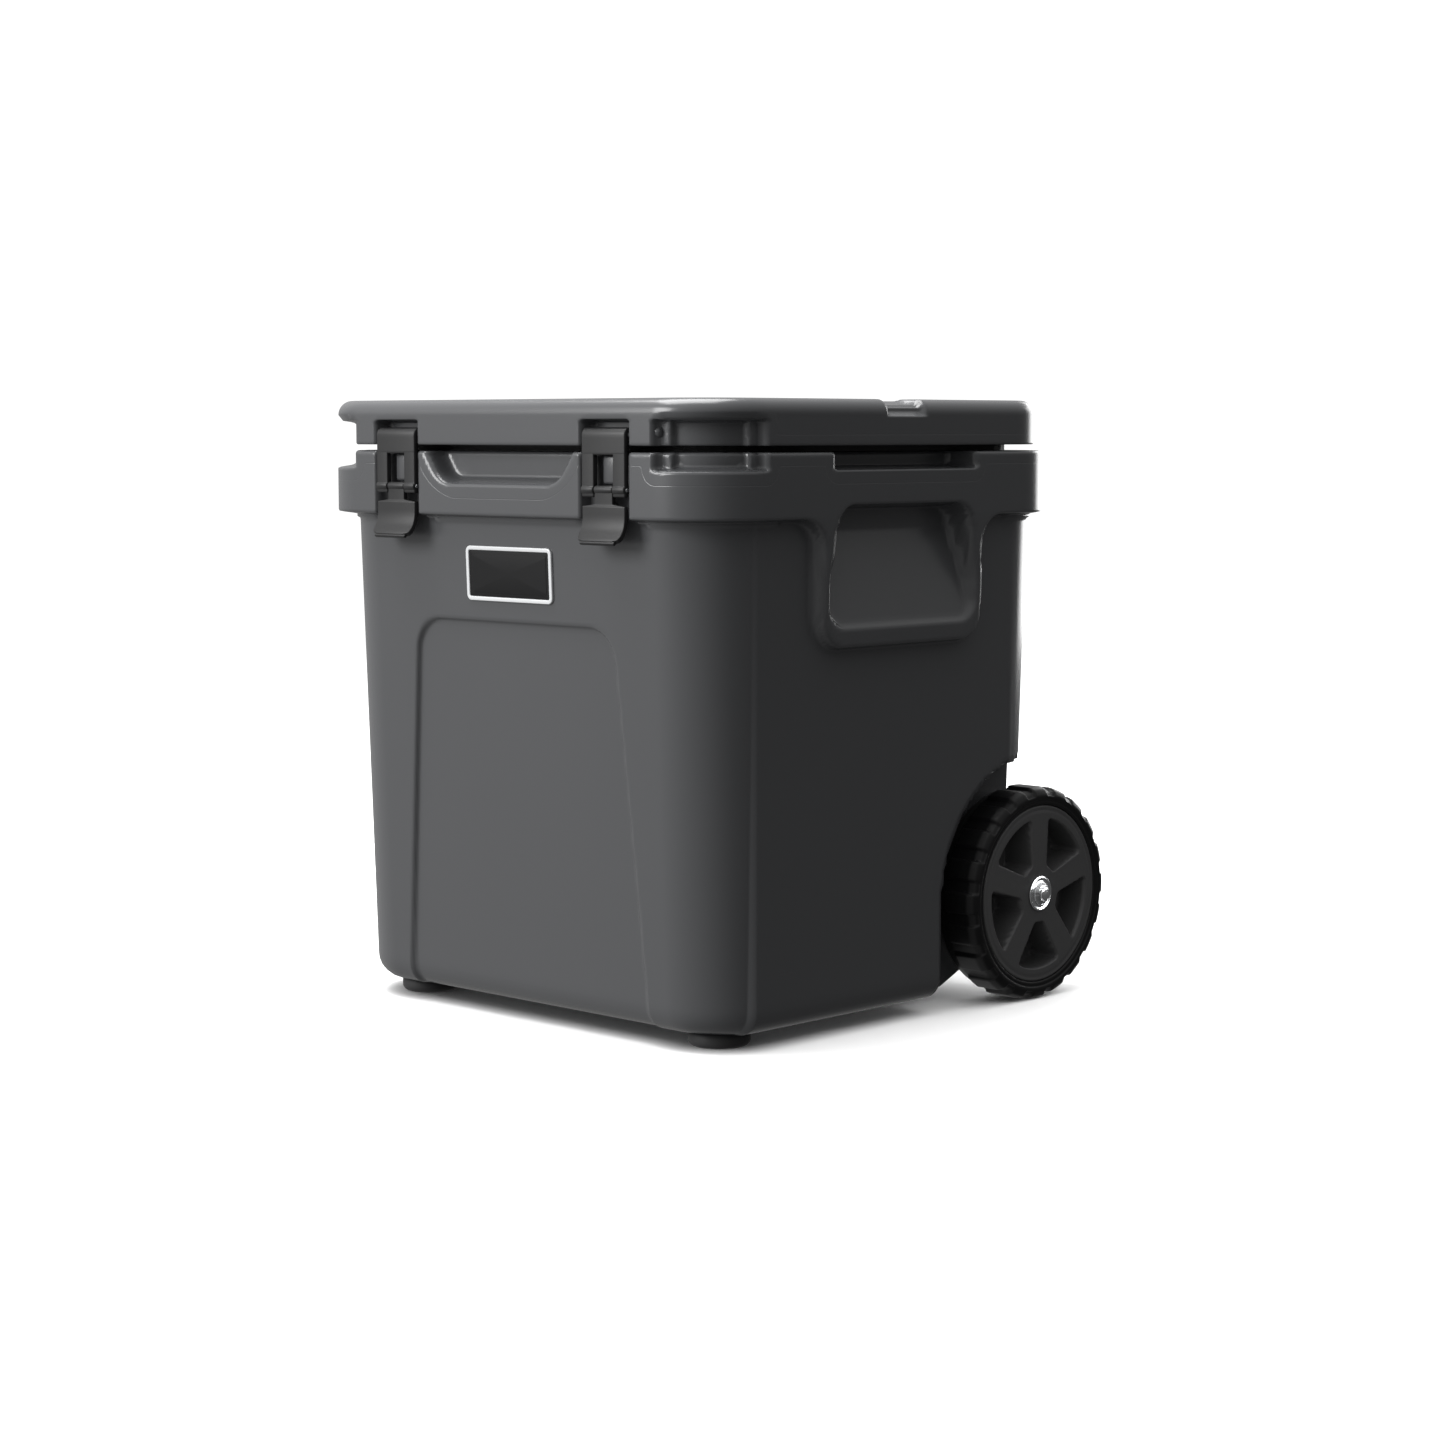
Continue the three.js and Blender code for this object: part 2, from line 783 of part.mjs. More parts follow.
function wheelRim(side) {
  const web = wheelInner + 12;
  const face = wheelOuter - 2.5;
  const bore = hubBore + gap;
  const ring = placed(
    turned(
      [
        [bore, wheelInner + 3],
        [hubR, wheelInner + 3],
        [hubR, web],
        [rimR, web - 4],
        [rimR, face],
        [rimR - rimWall, face + 1],
        [rimR - rimWall - 2, web + 5],
        [hubR, web + 5],
        [hubR, face],
        [bore, face],
      ],
      40,
    ),
    side,
  );
  let rim = ring;
  for (let i = 0; i < spokes; i += 1) {
    const arm = polygon([
      [hubR - 4, -9.5],
      [rimR - rimWall + 1, -12.5],
      [rimR - rimWall + 1, 12.5],
      [hubR - 4, 9.5],
    ]);
    const swept = sweep(arm, face - web - 2).applyMatrix4(toAlongX);
    swept.rotateX(Math.PI / 2 + (i * 2 * Math.PI) / spokes);
    const from = side > 0 ? web + 1 : -(face - 1);
    rim = rim.add(solid(swept.translate(from, axleY, axleZ)));
  }
  return rim;
}

for (const [name, side] of sides) {
  const hubFace = wheelOuter - 2.5;
  add(`wheel_tyre_${name}`, tyre(side), 0x1a1b1c, 0.75);
  blackPlastic(`wheel_rim_${name}`, wheelRim(side));
  const bearing = placed(
    turned(
      [
        [axleR + 0.4, wheelInner + 3],
        [hubBore, wheelInner + 3],
        [hubBore, hubFace + 0.4],
        [hubR - 4, hubFace + 0.4],
        [hubR - 5, hubFace + 1.6],
        [axleR + 0.4, hubFace + 1.6],
      ],
      24,
    ),
    side,
  );
  steel(`wheel_bearing_${name}`, bearing);
  const nut = placed(
    turned(
      [
        [axleR + gap, hubFace + 2],
        [axleR + 4, hubFace + 2],
        [axleR + 3, hubFace + 3.4],
        [axleR + gap, hubFace + 5],
      ],
      24,
    ),
    side,
  );
  steel(`wheel_push_nut_${name}`, nut);
  const bush = placed(
    turned(
      [
        [axleR + gap, wellWall - 20],
        [bushR, wellWall - 20],
        [bushR, wellWall + gap],
        [bushR + 5, wellWall + gap],
        [bushR + 5, wellWall + 3],
        [axleR + gap, wellWall + 3],
      ],
      24,
    ),
    side,
  );
  blackPlastic(`axle_bush_${name}`, bush);
}

// ---------------------------------------------------------------- lid
function lidOutline(inset, back, r) {
  return roundRect(-lidHalfWidth + inset, lidHalfWidth - inset, inset, back, r);
}

// Space inside the lid, drawn in by `inset`.
function lidCavity(inset) {
  const block = upright(
    lidOutline(lidCavityInset + inset, lidCavityBack - inset, 30),
    lidBottom - 10,
    lidCavityTop - inset,
  );
  return solid(block);
}

function lidShell() {
  const outline = lidOutline(0, lidDepth, lidCorner);
  let shell = solid(
    upright(outline, lidBottom - lidEdgeFillet, lidTop, { fillet: lidEdgeFillet, facets: 4, steps: 4 }),
  );
  shell = cut(
    shell,
    slab(lidBottom - 50, lidBottom),
    lidCavity(0),
    box(-channelHalf - 2, channelHalf + 2, lidNotchFloor, far, 0, far),
  );
  for (const [, side] of sides) {
    const x = side * latchX;
    const edge = side * (lidHalfWidth - strapGrooveDepth);
    shell = cut(
      shell,
      cornerRecess(side, lidHalfWidth, lidCorner, lidBottom - 20, lidRecessTop),
      box(
        x - latchRecessHalf,
        x + latchRecessHalf,
        -30,
        latchRecessDepth,
        lidBottom - 20,
        lidRecessTop,
      ),
      rodX(
        strapPinR + gap,
        x - latchRecessHalf - 4,
        x + latchRecessHalf + 4,
        strapPinY,
        strapPinZ,
        16,
      ),
      box(
        edge,
        side * far,
        sideCentre - strapGrooveHalfLength,
        sideCentre + strapGrooveHalfLength,
        strapGrooveBottom,
        lidTop + 20,
      ),
      box(
        side * (hingeX - hingeHalf - 1),
        side * (hingeX + hingeHalf + 1),
        lidDepth - leafThickness - gap,
        far,
        lidBottom - 20,
        lidBottom + lidLeafHeight + gap,
      ),
      box(
        side * (hingeX - hingeHalf - 1),
        side * (hingeX + hingeHalf + 1),
        hingeY - knuckleR - 2.5,
        far,
        lidBottom - 20,
        hingeZ + knuckleR + 1,
      ),
    );
  }
  return shell;
}
plastic("lid_shell", lidShell());

// Plug that drops into the tub mouth; its size follows the mouth at the plug's depth.
function plugOutline(inset, r) {
  const shrink = plugClearance + 2 + inset;
  return roundRect(
    -tubHalfWidth + shrink,
    tubHalfWidth - shrink,
    tubFront + shrink,
    tubBack - shrink,
    r,
  );
}
function lidInnerPanel() {
  const tray = solid(upright(plugOutline(0, plugCorner), plugBottom, lidBottom - gap - 1));
  const flange = solid(
    upright(
      lidOutline(lidCavityInset - panelFlange, lidCavityBack + panelFlange, flangeCorner),
      lidBottom - gap - panelThickness,
      lidBottom - gap,
    ),
  );
  const inside = plugOutline(panelThickness, plugCorner - panelThickness);
  const hollow = solid(upright(inside, plugBottom + panelThickness, lidBottom + 5));
  return tray.add(flange).subtract(hollow);
}
add("lid_inner_panel", lidInnerPanel(), 0xd9dbd8, 0.45);

const lidFoamUpper = lidCavity(gap).subtract(slab(0, lidBottom));
const lidFoamLower = solid(
  upright(
    plugOutline(panelThickness + gap, plugCorner - panelThickness),
    plugBottom + panelThickness + gap,
    lidBottom + 5,
  ),
);
foam("lid_foam", lidFoamUpper.add(lidFoamLower));

function lidGasket() {
  const back = lidCavityBack + panelFlange + gap;
  const z0 = rimTop + gap;
  const outline = lidOutline(gasketInset, back + gasketWidth, flangeCorner + gasketWidth);
  const opening = lidOutline(gasketInset + gasketWidth, back, flangeCorner);
  const ring = solid(upright(outline, z0, lidBottom - gap));
  const hole = solid(upright(opening, z0 - 5, lidBottom + 5));
  return ring.subtract(hole);
}
add("lid_gasket", lidGasket(), 0x202122, 0.85);

// ---------------------------------------------------------------- lid hinges
for (const [name, side] of sides) {
  const x0 = side * hingeX - hingeHalf;
  const third = (2 * hingeHalf) / 3;
  const bore = rodX(hingePinR + gap, x0 - 5, x0 + 2 * hingeHalf + 5, hingeY, hingeZ, 20);
  const knuckle = (from, to) => rodX(knuckleR, x0 + from, x0 + to, hingeY, hingeZ, 24);
  const outerLow = [gap, third - gap];
  const outerHigh = [2 * third + gap, 2 * hingeHalf - gap];
  const middle = [third + gap, 2 * third - gap];
  const web = (span) =>
    box(x0 + span[0], x0 + span[1], bandBack - leafThickness, bandBack, rimTop - 6, hingeZ);
  const bodyLeaf = joined(
    box(x0, x0 + 2 * hingeHalf, bandBack - leafThickness, bandBack, rimTop - bodyLeafHeight, rimTop - 4),
    knuckle(...outerLow),
    knuckle(...outerHigh),
    web(outerLow),
    web(outerHigh),
  );
  plastic(`hinge_body_leaf_${name}`, cut(bodyLeaf, bore));
  const lidLeaf = joined(
    box(
      x0,
      x0 + 2 * hingeHalf,
      lidDepth - leafThickness,
      lidDepth,
      hingeZ + knuckleR + 1.4,
      lidBottom + lidLeafHeight,
    ),
    knuckle(...middle),
    box(
      x0 + middle[0],
      x0 + middle[1],
      lidDepth - leafThickness,
      hingeY,
      hingeZ + 0.5,
      hingeZ + knuckleR + 3,
    ).intersect(box(x0, x0 + 2 * hingeHalf, 0, hingeY - 1, 0, far)),
  );
  plastic(`hinge_lid_leaf_${name}`, cut(lidLeaf, bore));
  steel(`hinge_pin_${name}`, rodX(hingePinR, x0 - 0.5, x0 + 2 * hingeHalf + 0.5, hingeY, hingeZ, 20));
}

// ---------------------------------------------------------------- latches
function latchStrap(x) {
  const back = strapFace + strapThickness;
  const outline = roundRect(x - strapHalf, x + strapHalf, legBottom, strapPinZ + 3, 4);
  const plate = solid(acrossY(outline, strapFace, back, { facets: 2 }));
  const roll = rodX(strapRollR, x - strapHalf, x + strapHalf, strapPinY, strapPinZ, 24);
  const opening = roundRect(x - windowHalf, x + windowHalf, legBottom - 30, windowTop, 2.5);
  const window = solid(acrossY(opening, -20, 20, { facets: 2 }));
  const footing = rodX(strapThickness, x - strapHalf, x + strapHalf, crossPinY, crossPinZ, 20).intersect(
    box(x - strapHalf, x + strapHalf, strapFace, back, 0, far),
  );
  return cut(
    joined(plate, roll, footing),
    window,
    rodX(strapPinR + gap, x - 40, x + 40, strapPinY, strapPinZ, 20),
    rodX(crossPinR + gap, x - strapHalf - 5, x + strapHalf + 5, crossPinY, crossPinZ, 16),
  );
}

function latchLever(x) {
  const back = strapFace + strapThickness;
  const neckHalf = windowHalf - gap;
  const front = -leverReach;
  const profile = polygon([
    [strapFace, crossPinZ],
    [strapFace, leverBend + 2],
    [front, leverTip + 2.6],
    [front + 1.6, leverTip],
    [strapFace + 2.5, leverBend - 3.4],
    [back, leverBend + 1],
    [back, crossPinZ],
  ]);
  const plan = new THREE.Shape();
  plan.moveTo(x - strapHalf + 6, leverTip - 1);
  plan.lineTo(x + strapHalf - 6, leverTip - 1);
  plan.lineTo(x + strapHalf, leverTip + 7);
  plan.lineTo(x + strapHalf, leverShoulder);
  plan.lineTo(x + neckHalf, leverShoulder);
  plan.lineTo(x + neckHalf, crossPinZ);
  plan.lineTo(x - neckHalf, crossPinZ);
  plan.lineTo(x - neckHalf, leverShoulder);
  plan.lineTo(x - strapHalf, leverShoulder);
  plan.lineTo(x - strapHalf, leverTip + 7);
  const sheet = acrossX(profile, x - strapHalf, x + strapHalf).intersect(solid(acrossY(plan, -30, 30)));
  const barrel = rodX(leverBarrelR, x - neckHalf, x + neckHalf, crossPinY, crossPinZ, 20);
  return sheet.add(barrel).subtract(rodX(crossPinR + gap, x - 40, x + 40, crossPinY, crossPinZ, 16));
}

for (const [name, side] of sides) {
  const x = side * latchX;
  blackPlastic(`latch_strap_${name}`, latchStrap(x));
  steel(
    `latch_strap_pin_${name}`,
    rodX(strapPinR, x - latchRecessHalf - 3.5, x + latchRecessHalf + 3.5, strapPinY, strapPinZ, 16),
  );
  blackPlastic(`latch_lever_${name}`, latchLever(x));
  steel(
    `latch_cross_pin_${name}`,
    rodX(crossPinR, x - strapHalf + 1, x + strapHalf + 0.6, crossPinY, crossPinZ, 16),
  );
}

// ---------------------------------------------------------------- telescopic handle
function bracket(z0, boreR) {
  const block = solid(
    upright(
      roundRect(-channelHalf + 4, channelHalf - 4, channelFloor + gap, tubeY + outerTubeR + bracketBack, 3),
      z0,
      z0 + bracketHeight,
      { facets: 2 },
    ),
  );
  const bores = sides.map(([, side]) => rodZ(boreR, z0 - 5, z0 + bracketHeight + 5, side * tubeX, tubeY));
  return cut(block, ...bores);
}
function withScrewHole(body, z0) {
  const hole = rod(screwR + gap, 60, 16).translate(0, tubeY, z0 + bracketHeight / 2);
  return body.subtract(solid(hole));
}
for (const [name, z0] of [
  ["upper", upperBracketZ],
  ["lower", outerTubeBottom],
]) {
  blackPlastic(`handle_${name}_bracket`, withScrewHole(bracket(z0, outerTubeR + gap), z0));
  const face = tubeY + outerTubeR + bracketBack + gap;
  const z = z0 + bracketHeight / 2;
  const shank = rod(screwR, face - channelFloor - 2 * gap + 0.5, 16);
  shank.translate(0, (face + channelFloor + gap + 0.5) / 2, z);
  const head = rod(screwHeadR, 2.4, 20).translate(0, face + 1.2, z);
  steel(`handle_${name}_screw`, solid(shank).add(solid(head)));
}

for (const [name, side] of sides) {
  const x = side * tubeX;
  aluminium(
    `handle_outer_tube_${name}`,
    tubeZ(outerTubeR, outerTubeR - tubeWall, outerTubeBottom, outerTubeTop, x, tubeY),
  );
  aluminium(
    `handle_middle_tube_${name}`,
    tubeZ(middleTubeR, middleTubeR - tubeWall, middleTubeBottom, middleTubeTop, x, tubeY),
  );
  aluminium(
    `handle_inner_tube_${name}`,
    tubeZ(innerTubeR, innerTubeR - tubeWall, innerTubeBottom, gripBottom + 6, x, tubeY),
  );
  steel(`release_rod_${name}`, rodZ(rodR, innerTubeBottom + 10, buttonFloor + 1.2, x, tubeY, 16));
}

function middleYoke() {
  const z0 = middleTubeTop + gap;
  const plate = solid(
    upright(
      roundRect(-tubeX - 12, tubeX + 12, tubeY - 10, tubeY + 10, 6),
      z0,
      z0 + yokeHeight,
      { fillet: 1, steps: 1, facets: 2 },
    ),
  );
  const bores = sides.map(([, side]) => rodZ(innerTubeR + gap, z0 - 5, z0 + 20, side * tubeX, tubeY));
  return cut(plate, ...bores);
}
blackPlastic("handle_middle_yoke", middleYoke());

function grip() {
  const y0 = tubeY - gripDepth / 2;
  const y1 = tubeY + gripDepth / 2;
  const shape = roundRect(-gripHalf, gripHalf, gripBottom, gripTop, 8);
  const slot = roundRect(-gripSlotHalf, gripSlotHalf, gripBottom - 20, gripTop - gripBar, 5);
  const bar = solid(acrossY(shape, y0, y1, { fillet: 4, steps: 2, facets: 2 }));
  const sockets = sides.map(([, side]) =>
    rodZ(innerTubeR + gap, gripBottom - 5, gripBottom + 6 + gap, side * tubeX, tubeY),
  );
  const rodWays = sides.map(([, side]) =>
    rodZ(rodR + 1, gripBottom, buttonFloor + 2, side * tubeX, tubeY, 16),
  );
  const inside = box(
    -yokeSlotHalf,
    yokeSlotHalf,
    tubeY - 4,
    tubeY + 4,
    buttonFloor - 2,
    buttonFloor + 6.5,
  );
  const mouth = box(
    -buttonHalf - gap,
    buttonHalf + gap,
    tubeY - buttonDepth / 2 - gap,
    tubeY + buttonDepth / 2 + gap,
    buttonFloor + 2,
    gripTop + 10,
  );
  const opening = solid(acrossY(slot, y0 - 5, y1 + 5, { facets: 2 }));
  return cut(bar, opening, ...sockets, ...rodWays, inside, mouth);
}
blackPlastic("handle_grip", grip());

blackPlastic(
  "release_button",
  box(
    -buttonHalf,
    buttonHalf,
    tubeY - buttonDepth / 2,
    tubeY + buttonDepth / 2,
    buttonBase,
    gripTop + buttonRise,
  ),
);
blackPlastic(
  "release_yoke",
  box(-yokeSlotHalf + 1, yokeSlotHalf - 1, tubeY - 3.5, tubeY + 3.5, buttonFloor + 1.5, buttonBase - gap),
);

export default cooler;
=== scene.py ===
"""Looks of a hard-sided wheeled cooler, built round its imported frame.

Lengths are in millimetres until a mesh is made. Depth is counted back from the lid's front face, and
`metres` moves it to the row frame. Every new piece is a surface worked out with numpy on a grid.
"""

from __future__ import annotations

import json
import logging
import math
from dataclasses import dataclass, field
from enum import Enum
from typing import Any, Callable

import bpy
import numpy as np
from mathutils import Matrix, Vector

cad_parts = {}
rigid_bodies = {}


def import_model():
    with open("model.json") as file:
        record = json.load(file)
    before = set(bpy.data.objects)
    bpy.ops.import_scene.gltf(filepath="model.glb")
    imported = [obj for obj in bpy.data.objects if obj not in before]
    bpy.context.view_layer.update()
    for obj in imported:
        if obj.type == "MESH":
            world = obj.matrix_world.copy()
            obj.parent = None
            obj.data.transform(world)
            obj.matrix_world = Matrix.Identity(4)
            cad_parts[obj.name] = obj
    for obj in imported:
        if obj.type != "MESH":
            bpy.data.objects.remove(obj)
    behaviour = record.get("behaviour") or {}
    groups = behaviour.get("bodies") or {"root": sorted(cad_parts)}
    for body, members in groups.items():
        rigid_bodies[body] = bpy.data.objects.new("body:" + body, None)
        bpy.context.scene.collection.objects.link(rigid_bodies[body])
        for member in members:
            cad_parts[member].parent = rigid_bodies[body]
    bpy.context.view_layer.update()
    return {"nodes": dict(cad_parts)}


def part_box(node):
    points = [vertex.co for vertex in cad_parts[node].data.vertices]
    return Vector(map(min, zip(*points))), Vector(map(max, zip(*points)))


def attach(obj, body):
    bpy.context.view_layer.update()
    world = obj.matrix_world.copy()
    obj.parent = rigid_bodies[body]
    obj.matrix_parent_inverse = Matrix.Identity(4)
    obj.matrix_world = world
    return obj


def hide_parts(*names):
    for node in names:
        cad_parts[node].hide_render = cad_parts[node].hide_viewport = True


LOG = logging.getLogger("cooler")
Array = np.ndarray
DEPTH_CENTRE = 243.55
SIDES = (("left", -1), ("right", 1))
NO_SEAM = 99.0
FAR_OUTSIDE = -99.0


# ---------------------------------------------------------------- numbers
def metres(points: Array) -> Array:
    """Millimetres from the lid's front face to metres in the row frame.

    Args:
        points: Array whose last axis is X, depth and height.

    Returns:
        The same points in metres, centred in depth.
    """
    return (points - np.array([0.0, DEPTH_CENTRE, 0.0])) * 0.001


def ease(t: Array) -> Array:
    """Smooth step: 3t² - 2t³ with t held between 0 and 1."""
    t = np.clip(t, 0.0, 1.0)
    return t * t * (3.0 - 2.0 * t)


def spaced(stops: list[tuple[float, float]]) -> Array:
    """Levels from piecewise spacing.

    Args:
        stops: (level, spacing up to the next level) pairs in rising order.

    Returns:
        All levels, each stretch cut evenly.
    """
    parts = []
    for (a, gap), (b, _) in zip(stops[:-1], stops[1:]):
        parts.append(np.linspace(a, b, max(2, round((b - a) / gap) + 1))[:-1])
    return np.concatenate([*parts, [stops[-1][0]]])


def filleted(points: list[tuple[float, float]], radius: float, steps: int = 4, closed: bool = True) -> Array:
    """Polyline with each corner replaced by a quadratic curve from radius before it to radius after it.

    Args:
        points: Corners in order.
        radius: Cut length on each side, at most 0.45 of a leg.
        steps: Points on each curve.
        closed: Whether the last corner joins the first.

    Returns:
        The curve's points, one row each.
    """
    p = np.array(points, float)
    out = []
    for i, corner in enumerate(p):
        if not closed and i in (0, len(p) - 1):
            out.append(corner[None])
            continue
        before, after = p[i - 1] - corner, p[(i + 1) % len(p)] - corner
        la, lb = np.linalg.norm(before), np.linalg.norm(after)
        a = corner + before / la * min(radius, 0.45 * la)
        b = corner + after / lb * min(radius, 0.45 * lb)
        t = np.linspace(0, 1, steps)[:, None]
        out.append((1 - t) ** 2 * a + 2 * t * (1 - t) * corner + t * t * b)
    return np.concatenate(out)


@dataclass(frozen=True)
class RoundRect:
    """Rounded rectangle seen from above, walked from the front centre round the right side to the back."""

    half: float
    front: float
    back: float
    corner: float

    def lengths(self) -> Array:
        """Arc lengths at which the front, corner, side, corner and back stretches end.

        Returns:
            Six lengths, the first one 0.
        """
        bend = math.pi / 2 * self.corner
        flat, deep = self.half - self.corner, self.back - self.front - 2 * self.corner
        return np.cumsum([0.0, flat, bend, deep, bend, flat])

    def station(self, q: Array) -> Array:
        """Stretch number and share of it walked, as one number from 0 to 5, at arc length q."""
        return np.interp(q, self.lengths(), np.arange(6.0))

    def at(self, u: Array) -> tuple[Array, Array, Array, Array]:
        """Point and outward normal at a station: core rectangle point plus normal times corner.

        Args:
            u: Stations, 0 to 5.

        Returns:
            X, depth, and the normal's X and depth.
        """
        x = np.interp(u, [0, 1, 4, 5], [0, self.half - self.corner, self.half - self.corner, 0])
        share = np.interp(u, [2, 3], [0, 1])
        y = (self.front + self.corner) * (1 - share) + (self.back - self.corner) * share
        angle = np.interp(u, [1, 2, 3, 4], [-math.pi / 2, 0, 0, math.pi / 2])
        nx, ny = np.cos(angle), np.sin(angle)
        return x + nx * self.corner, y + ny * self.corner, nx, ny


# ---------------------------------------------------------------- meshes
@dataclass
class Surface:
    """Closed patches gathered into one mesh."""

    points: list[Array] = field(default_factory=list)
    quads: list[Array] = field(default_factory=list)
    triangles: list[Array] = field(default_factory=list)
    marks: list[Array] = field(default_factory=list)
    count: int = 0

    def patch(self, grid: Array, wrap_rows: bool = False, marks: Array | None = None) -> Surface:
        """Adds a grid whose columns join up; open rows end in a pole each. Turned outwards by its volume.

        Args:
            grid: Points in millimetres, shaped rows, columns, 3.
            wrap_rows: Whether the last row joins the first.
            marks: One number per grid point for the seam attribute.

        Returns:
            This surface.
        """
        rows, cols = grid.shape[:2]
        number = np.arange(rows * cols).reshape(rows, cols)
        across = np.concatenate([number, number[:, :1]], 1)
        ring = np.concatenate([across, across[:1]], 0) if wrap_rows else across
        quads = np.stack([ring[:-1, :-1], ring[:-1, 1:], ring[1:, 1:], ring[1:, :-1]], -1).reshape(-1, 4)
        points = grid.reshape(-1, 3)
        values = np.full(len(points), NO_SEAM) if marks is None else marks.reshape(-1)
        triangles = np.zeros((0, 3), int)
        if not wrap_rows:
            south, north = len(points), len(points) + 1
            points = np.concatenate([points, grid[:1].mean(1), grid[-1:].mean(1)])
            values = np.concatenate([values, [NO_SEAM, NO_SEAM]])
            low, high = across[0], across[-1]
            first = np.stack([np.full(cols, south), low[1:], low[:-1]], -1)
            last = np.stack([np.full(cols, north), high[:-1], high[1:]], -1)
            triangles = np.concatenate([first, last])
        halves = np.concatenate([quads[:, [0, 1, 2]], quads[:, [0, 2, 3]], triangles])
        a, b, c = (points[halves[:, k]] - points.mean(0) for k in range(3))
        if np.einsum("ij,ij->i", a, np.cross(b, c)).sum() < 0:
            quads, triangles = quads[:, ::-1], triangles[:, ::-1]
        self.points.append(points)
        self.marks.append(values)
        self.quads.append(quads + self.count)
        self.triangles.append(triangles + self.count)
        self.count += len(points)
        return self

    def piece(
        self, name: str, body: str, slot: str, finish: bpy.types.Material, replaces: tuple[str, ...]
    ) -> bpy.types.Object:
        """Makes the object, smooth shaded, riding on a body in place of CAD nodes.

        Args:
            name: Piece name.
            body: CAD body that it moves with.
            slot: Material slot of the record; not used.
            finish: Material it wears.
            replaces: CAD nodes that it stands for.

        Returns:
            The new object.
        """
        mesh = bpy.data.meshes.new(name)
        points = metres(np.concatenate(self.points)).astype(np.float32)
        quads, triangles = np.concatenate(self.quads), np.concatenate(self.triangles)
        loops = np.concatenate([quads.reshape(-1), triangles.reshape(-1)]).astype(np.int32)
        starts = np.concatenate([np.arange(len(quads)) * 4, len(quads) * 4 + np.arange(len(triangles)) * 3])
        mesh.vertices.add(len(points))
        mesh.vertices.foreach_set("co", points.reshape(-1))
        mesh.loops.add(len(loops))
        mesh.loops.foreach_set("vertex_index", loops)
        mesh.polygons.add(len(starts))
        mesh.polygons.foreach_set("loop_start", starts.astype(np.int32))
        mesh.polygons.foreach_set("use_smooth", np.ones(len(starts), bool))
        seam = mesh.attributes.new("seam", "FLOAT", "POINT")
        seam.data.foreach_set("value", np.concatenate(self.marks).astype(np.float32))
        mesh.update(calc_edges=True)
        mesh.validate()
        mesh.materials.append(finish)
        made = bpy.data.objects.new(name, mesh)
        bpy.context.scene.collection.objects.link(made)
        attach(made, body)
        if replaces:
            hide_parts(*replaces)
        LOG.info("%s: %d faces on %s", name, len(starts), body)
        return made


def block(
    low: tuple[float, float, float],
    high: tuple[float, float, float],
    corner: float,
    edge: float,
    axis: int = 2,
) -> Array:
    """Box with rounded uprights and edges: a rounded rectangle inset by a quarter circle at each end.

    Args:
        low: Lowest corner.
        high: Highest corner.
        corner: Radius of the four uprights.
        edge: Radius of the end edges.
        axis: Which of X, depth and height the uprights follow.

    Returns:
        A grid for `Surface.patch`.
    """
    a, b = [k for k in range(3) if k != axis]
    centre = [(low[k] + high[k]) / 2 for k in range(3)]
    half = [(high[k] - low[k]) / 2 for k in range(3)]
    corner = min(corner, half[a] * 0.98, half[b] * 0.98)
    edge = min(edge, corner * 0.98, half[axis] * 0.98)
    turn = np.linspace(0, math.pi / 2, 6)
    angle = np.concatenate([turn + k * math.pi / 2 for k in range(4)])
    sign_a = np.repeat([1, -1, -1, 1], 6)
    sign_b = np.repeat([1, 1, -1, -1], 6)
    bend = np.linspace(0, math.pi / 2, 5)
    inset = np.concatenate([edge * (1 - np.sin(bend)), edge * (1 - np.sin(bend[::-1]))])
    level = np.concatenate(
        [-half[axis] + edge * (1 - np.cos(bend)), half[axis] - edge * (1 - np.cos(bend[::-1]))]
    )
    reach = corner - inset[:, None]
    grid = np.zeros((len(level), len(angle), 3))
    grid[..., a] = centre[a] + sign_a * (half[a] - corner) + np.cos(angle) * reach
    grid[..., b] = centre[b] + sign_b * (half[b] - corner) + np.sin(angle) * reach
    grid[..., axis] = centre[axis] + level[:, None]
    return grid


def turned(
    profile: Array,
    centre: tuple[float, float, float],
    axis: int,
    facets: int = 48,
    wave: Callable[[Array, Array], Array] | None = None,
) -> Array:
    """Profile of (radius, place along the axis) carried round a full turn.

    Args:
        profile: Rows of radius and place.
        centre: A point on the axis; its own coordinate along the axis is added to each place.
        axis: 0 for X, 1 for depth, 2 for height.
        facets: Columns round the turn.
        wave: Radius to add, from angle and profile row arrays.

    Returns:
        A grid for `Surface.patch`.
    """
    a, b = [k for k in range(3) if k != axis]
    angle = np.linspace(0, 2 * math.pi, facets, endpoint=False)[None]
    radius = np.repeat(profile[:, :1], facets, 1)
    if wave is not None:
        radius = radius + wave(angle, np.arange(len(profile))[:, None])
    grid = np.zeros((len(profile), facets, 3))
    grid[..., a] = centre[a] + radius * np.cos(angle)
    grid[..., b] = centre[b] + radius * np.sin(angle)
    grid[..., axis] = centre[axis] + profile[:, 1:2]
    return grid


def rod(
    radius: float,
    start: float,
    end: float,
    centre: tuple[float, float, float],
    axis: int,
    edge: float = 0.6,
    facets: int = 32,
) -> Array:
    """Round bar between two places on its axis, its end edges rounded over a quarter circle.

    Args:
        radius: Radius of the bar.
        start: Place of its lower end on the axis.
        end: Place of its upper end.
        centre: A point on the axis.
        axis: 0 for X, 1 for depth, 2 for height.
        edge: Radius of the end edges.
        facets: Columns round the turn.

    Returns:
        A grid for `Surface.patch`.
    """
    bend = np.linspace(0, math.pi / 2, 4)
    rise = edge * (1 - np.cos(bend))
    draw = radius - edge * (1 - np.sin(bend))
    profile = np.concatenate([np.stack([draw, start + rise], 1), np.stack([draw[::-1], end - rise[::-1]], 1)])
    return turned(profile, centre, axis, facets)


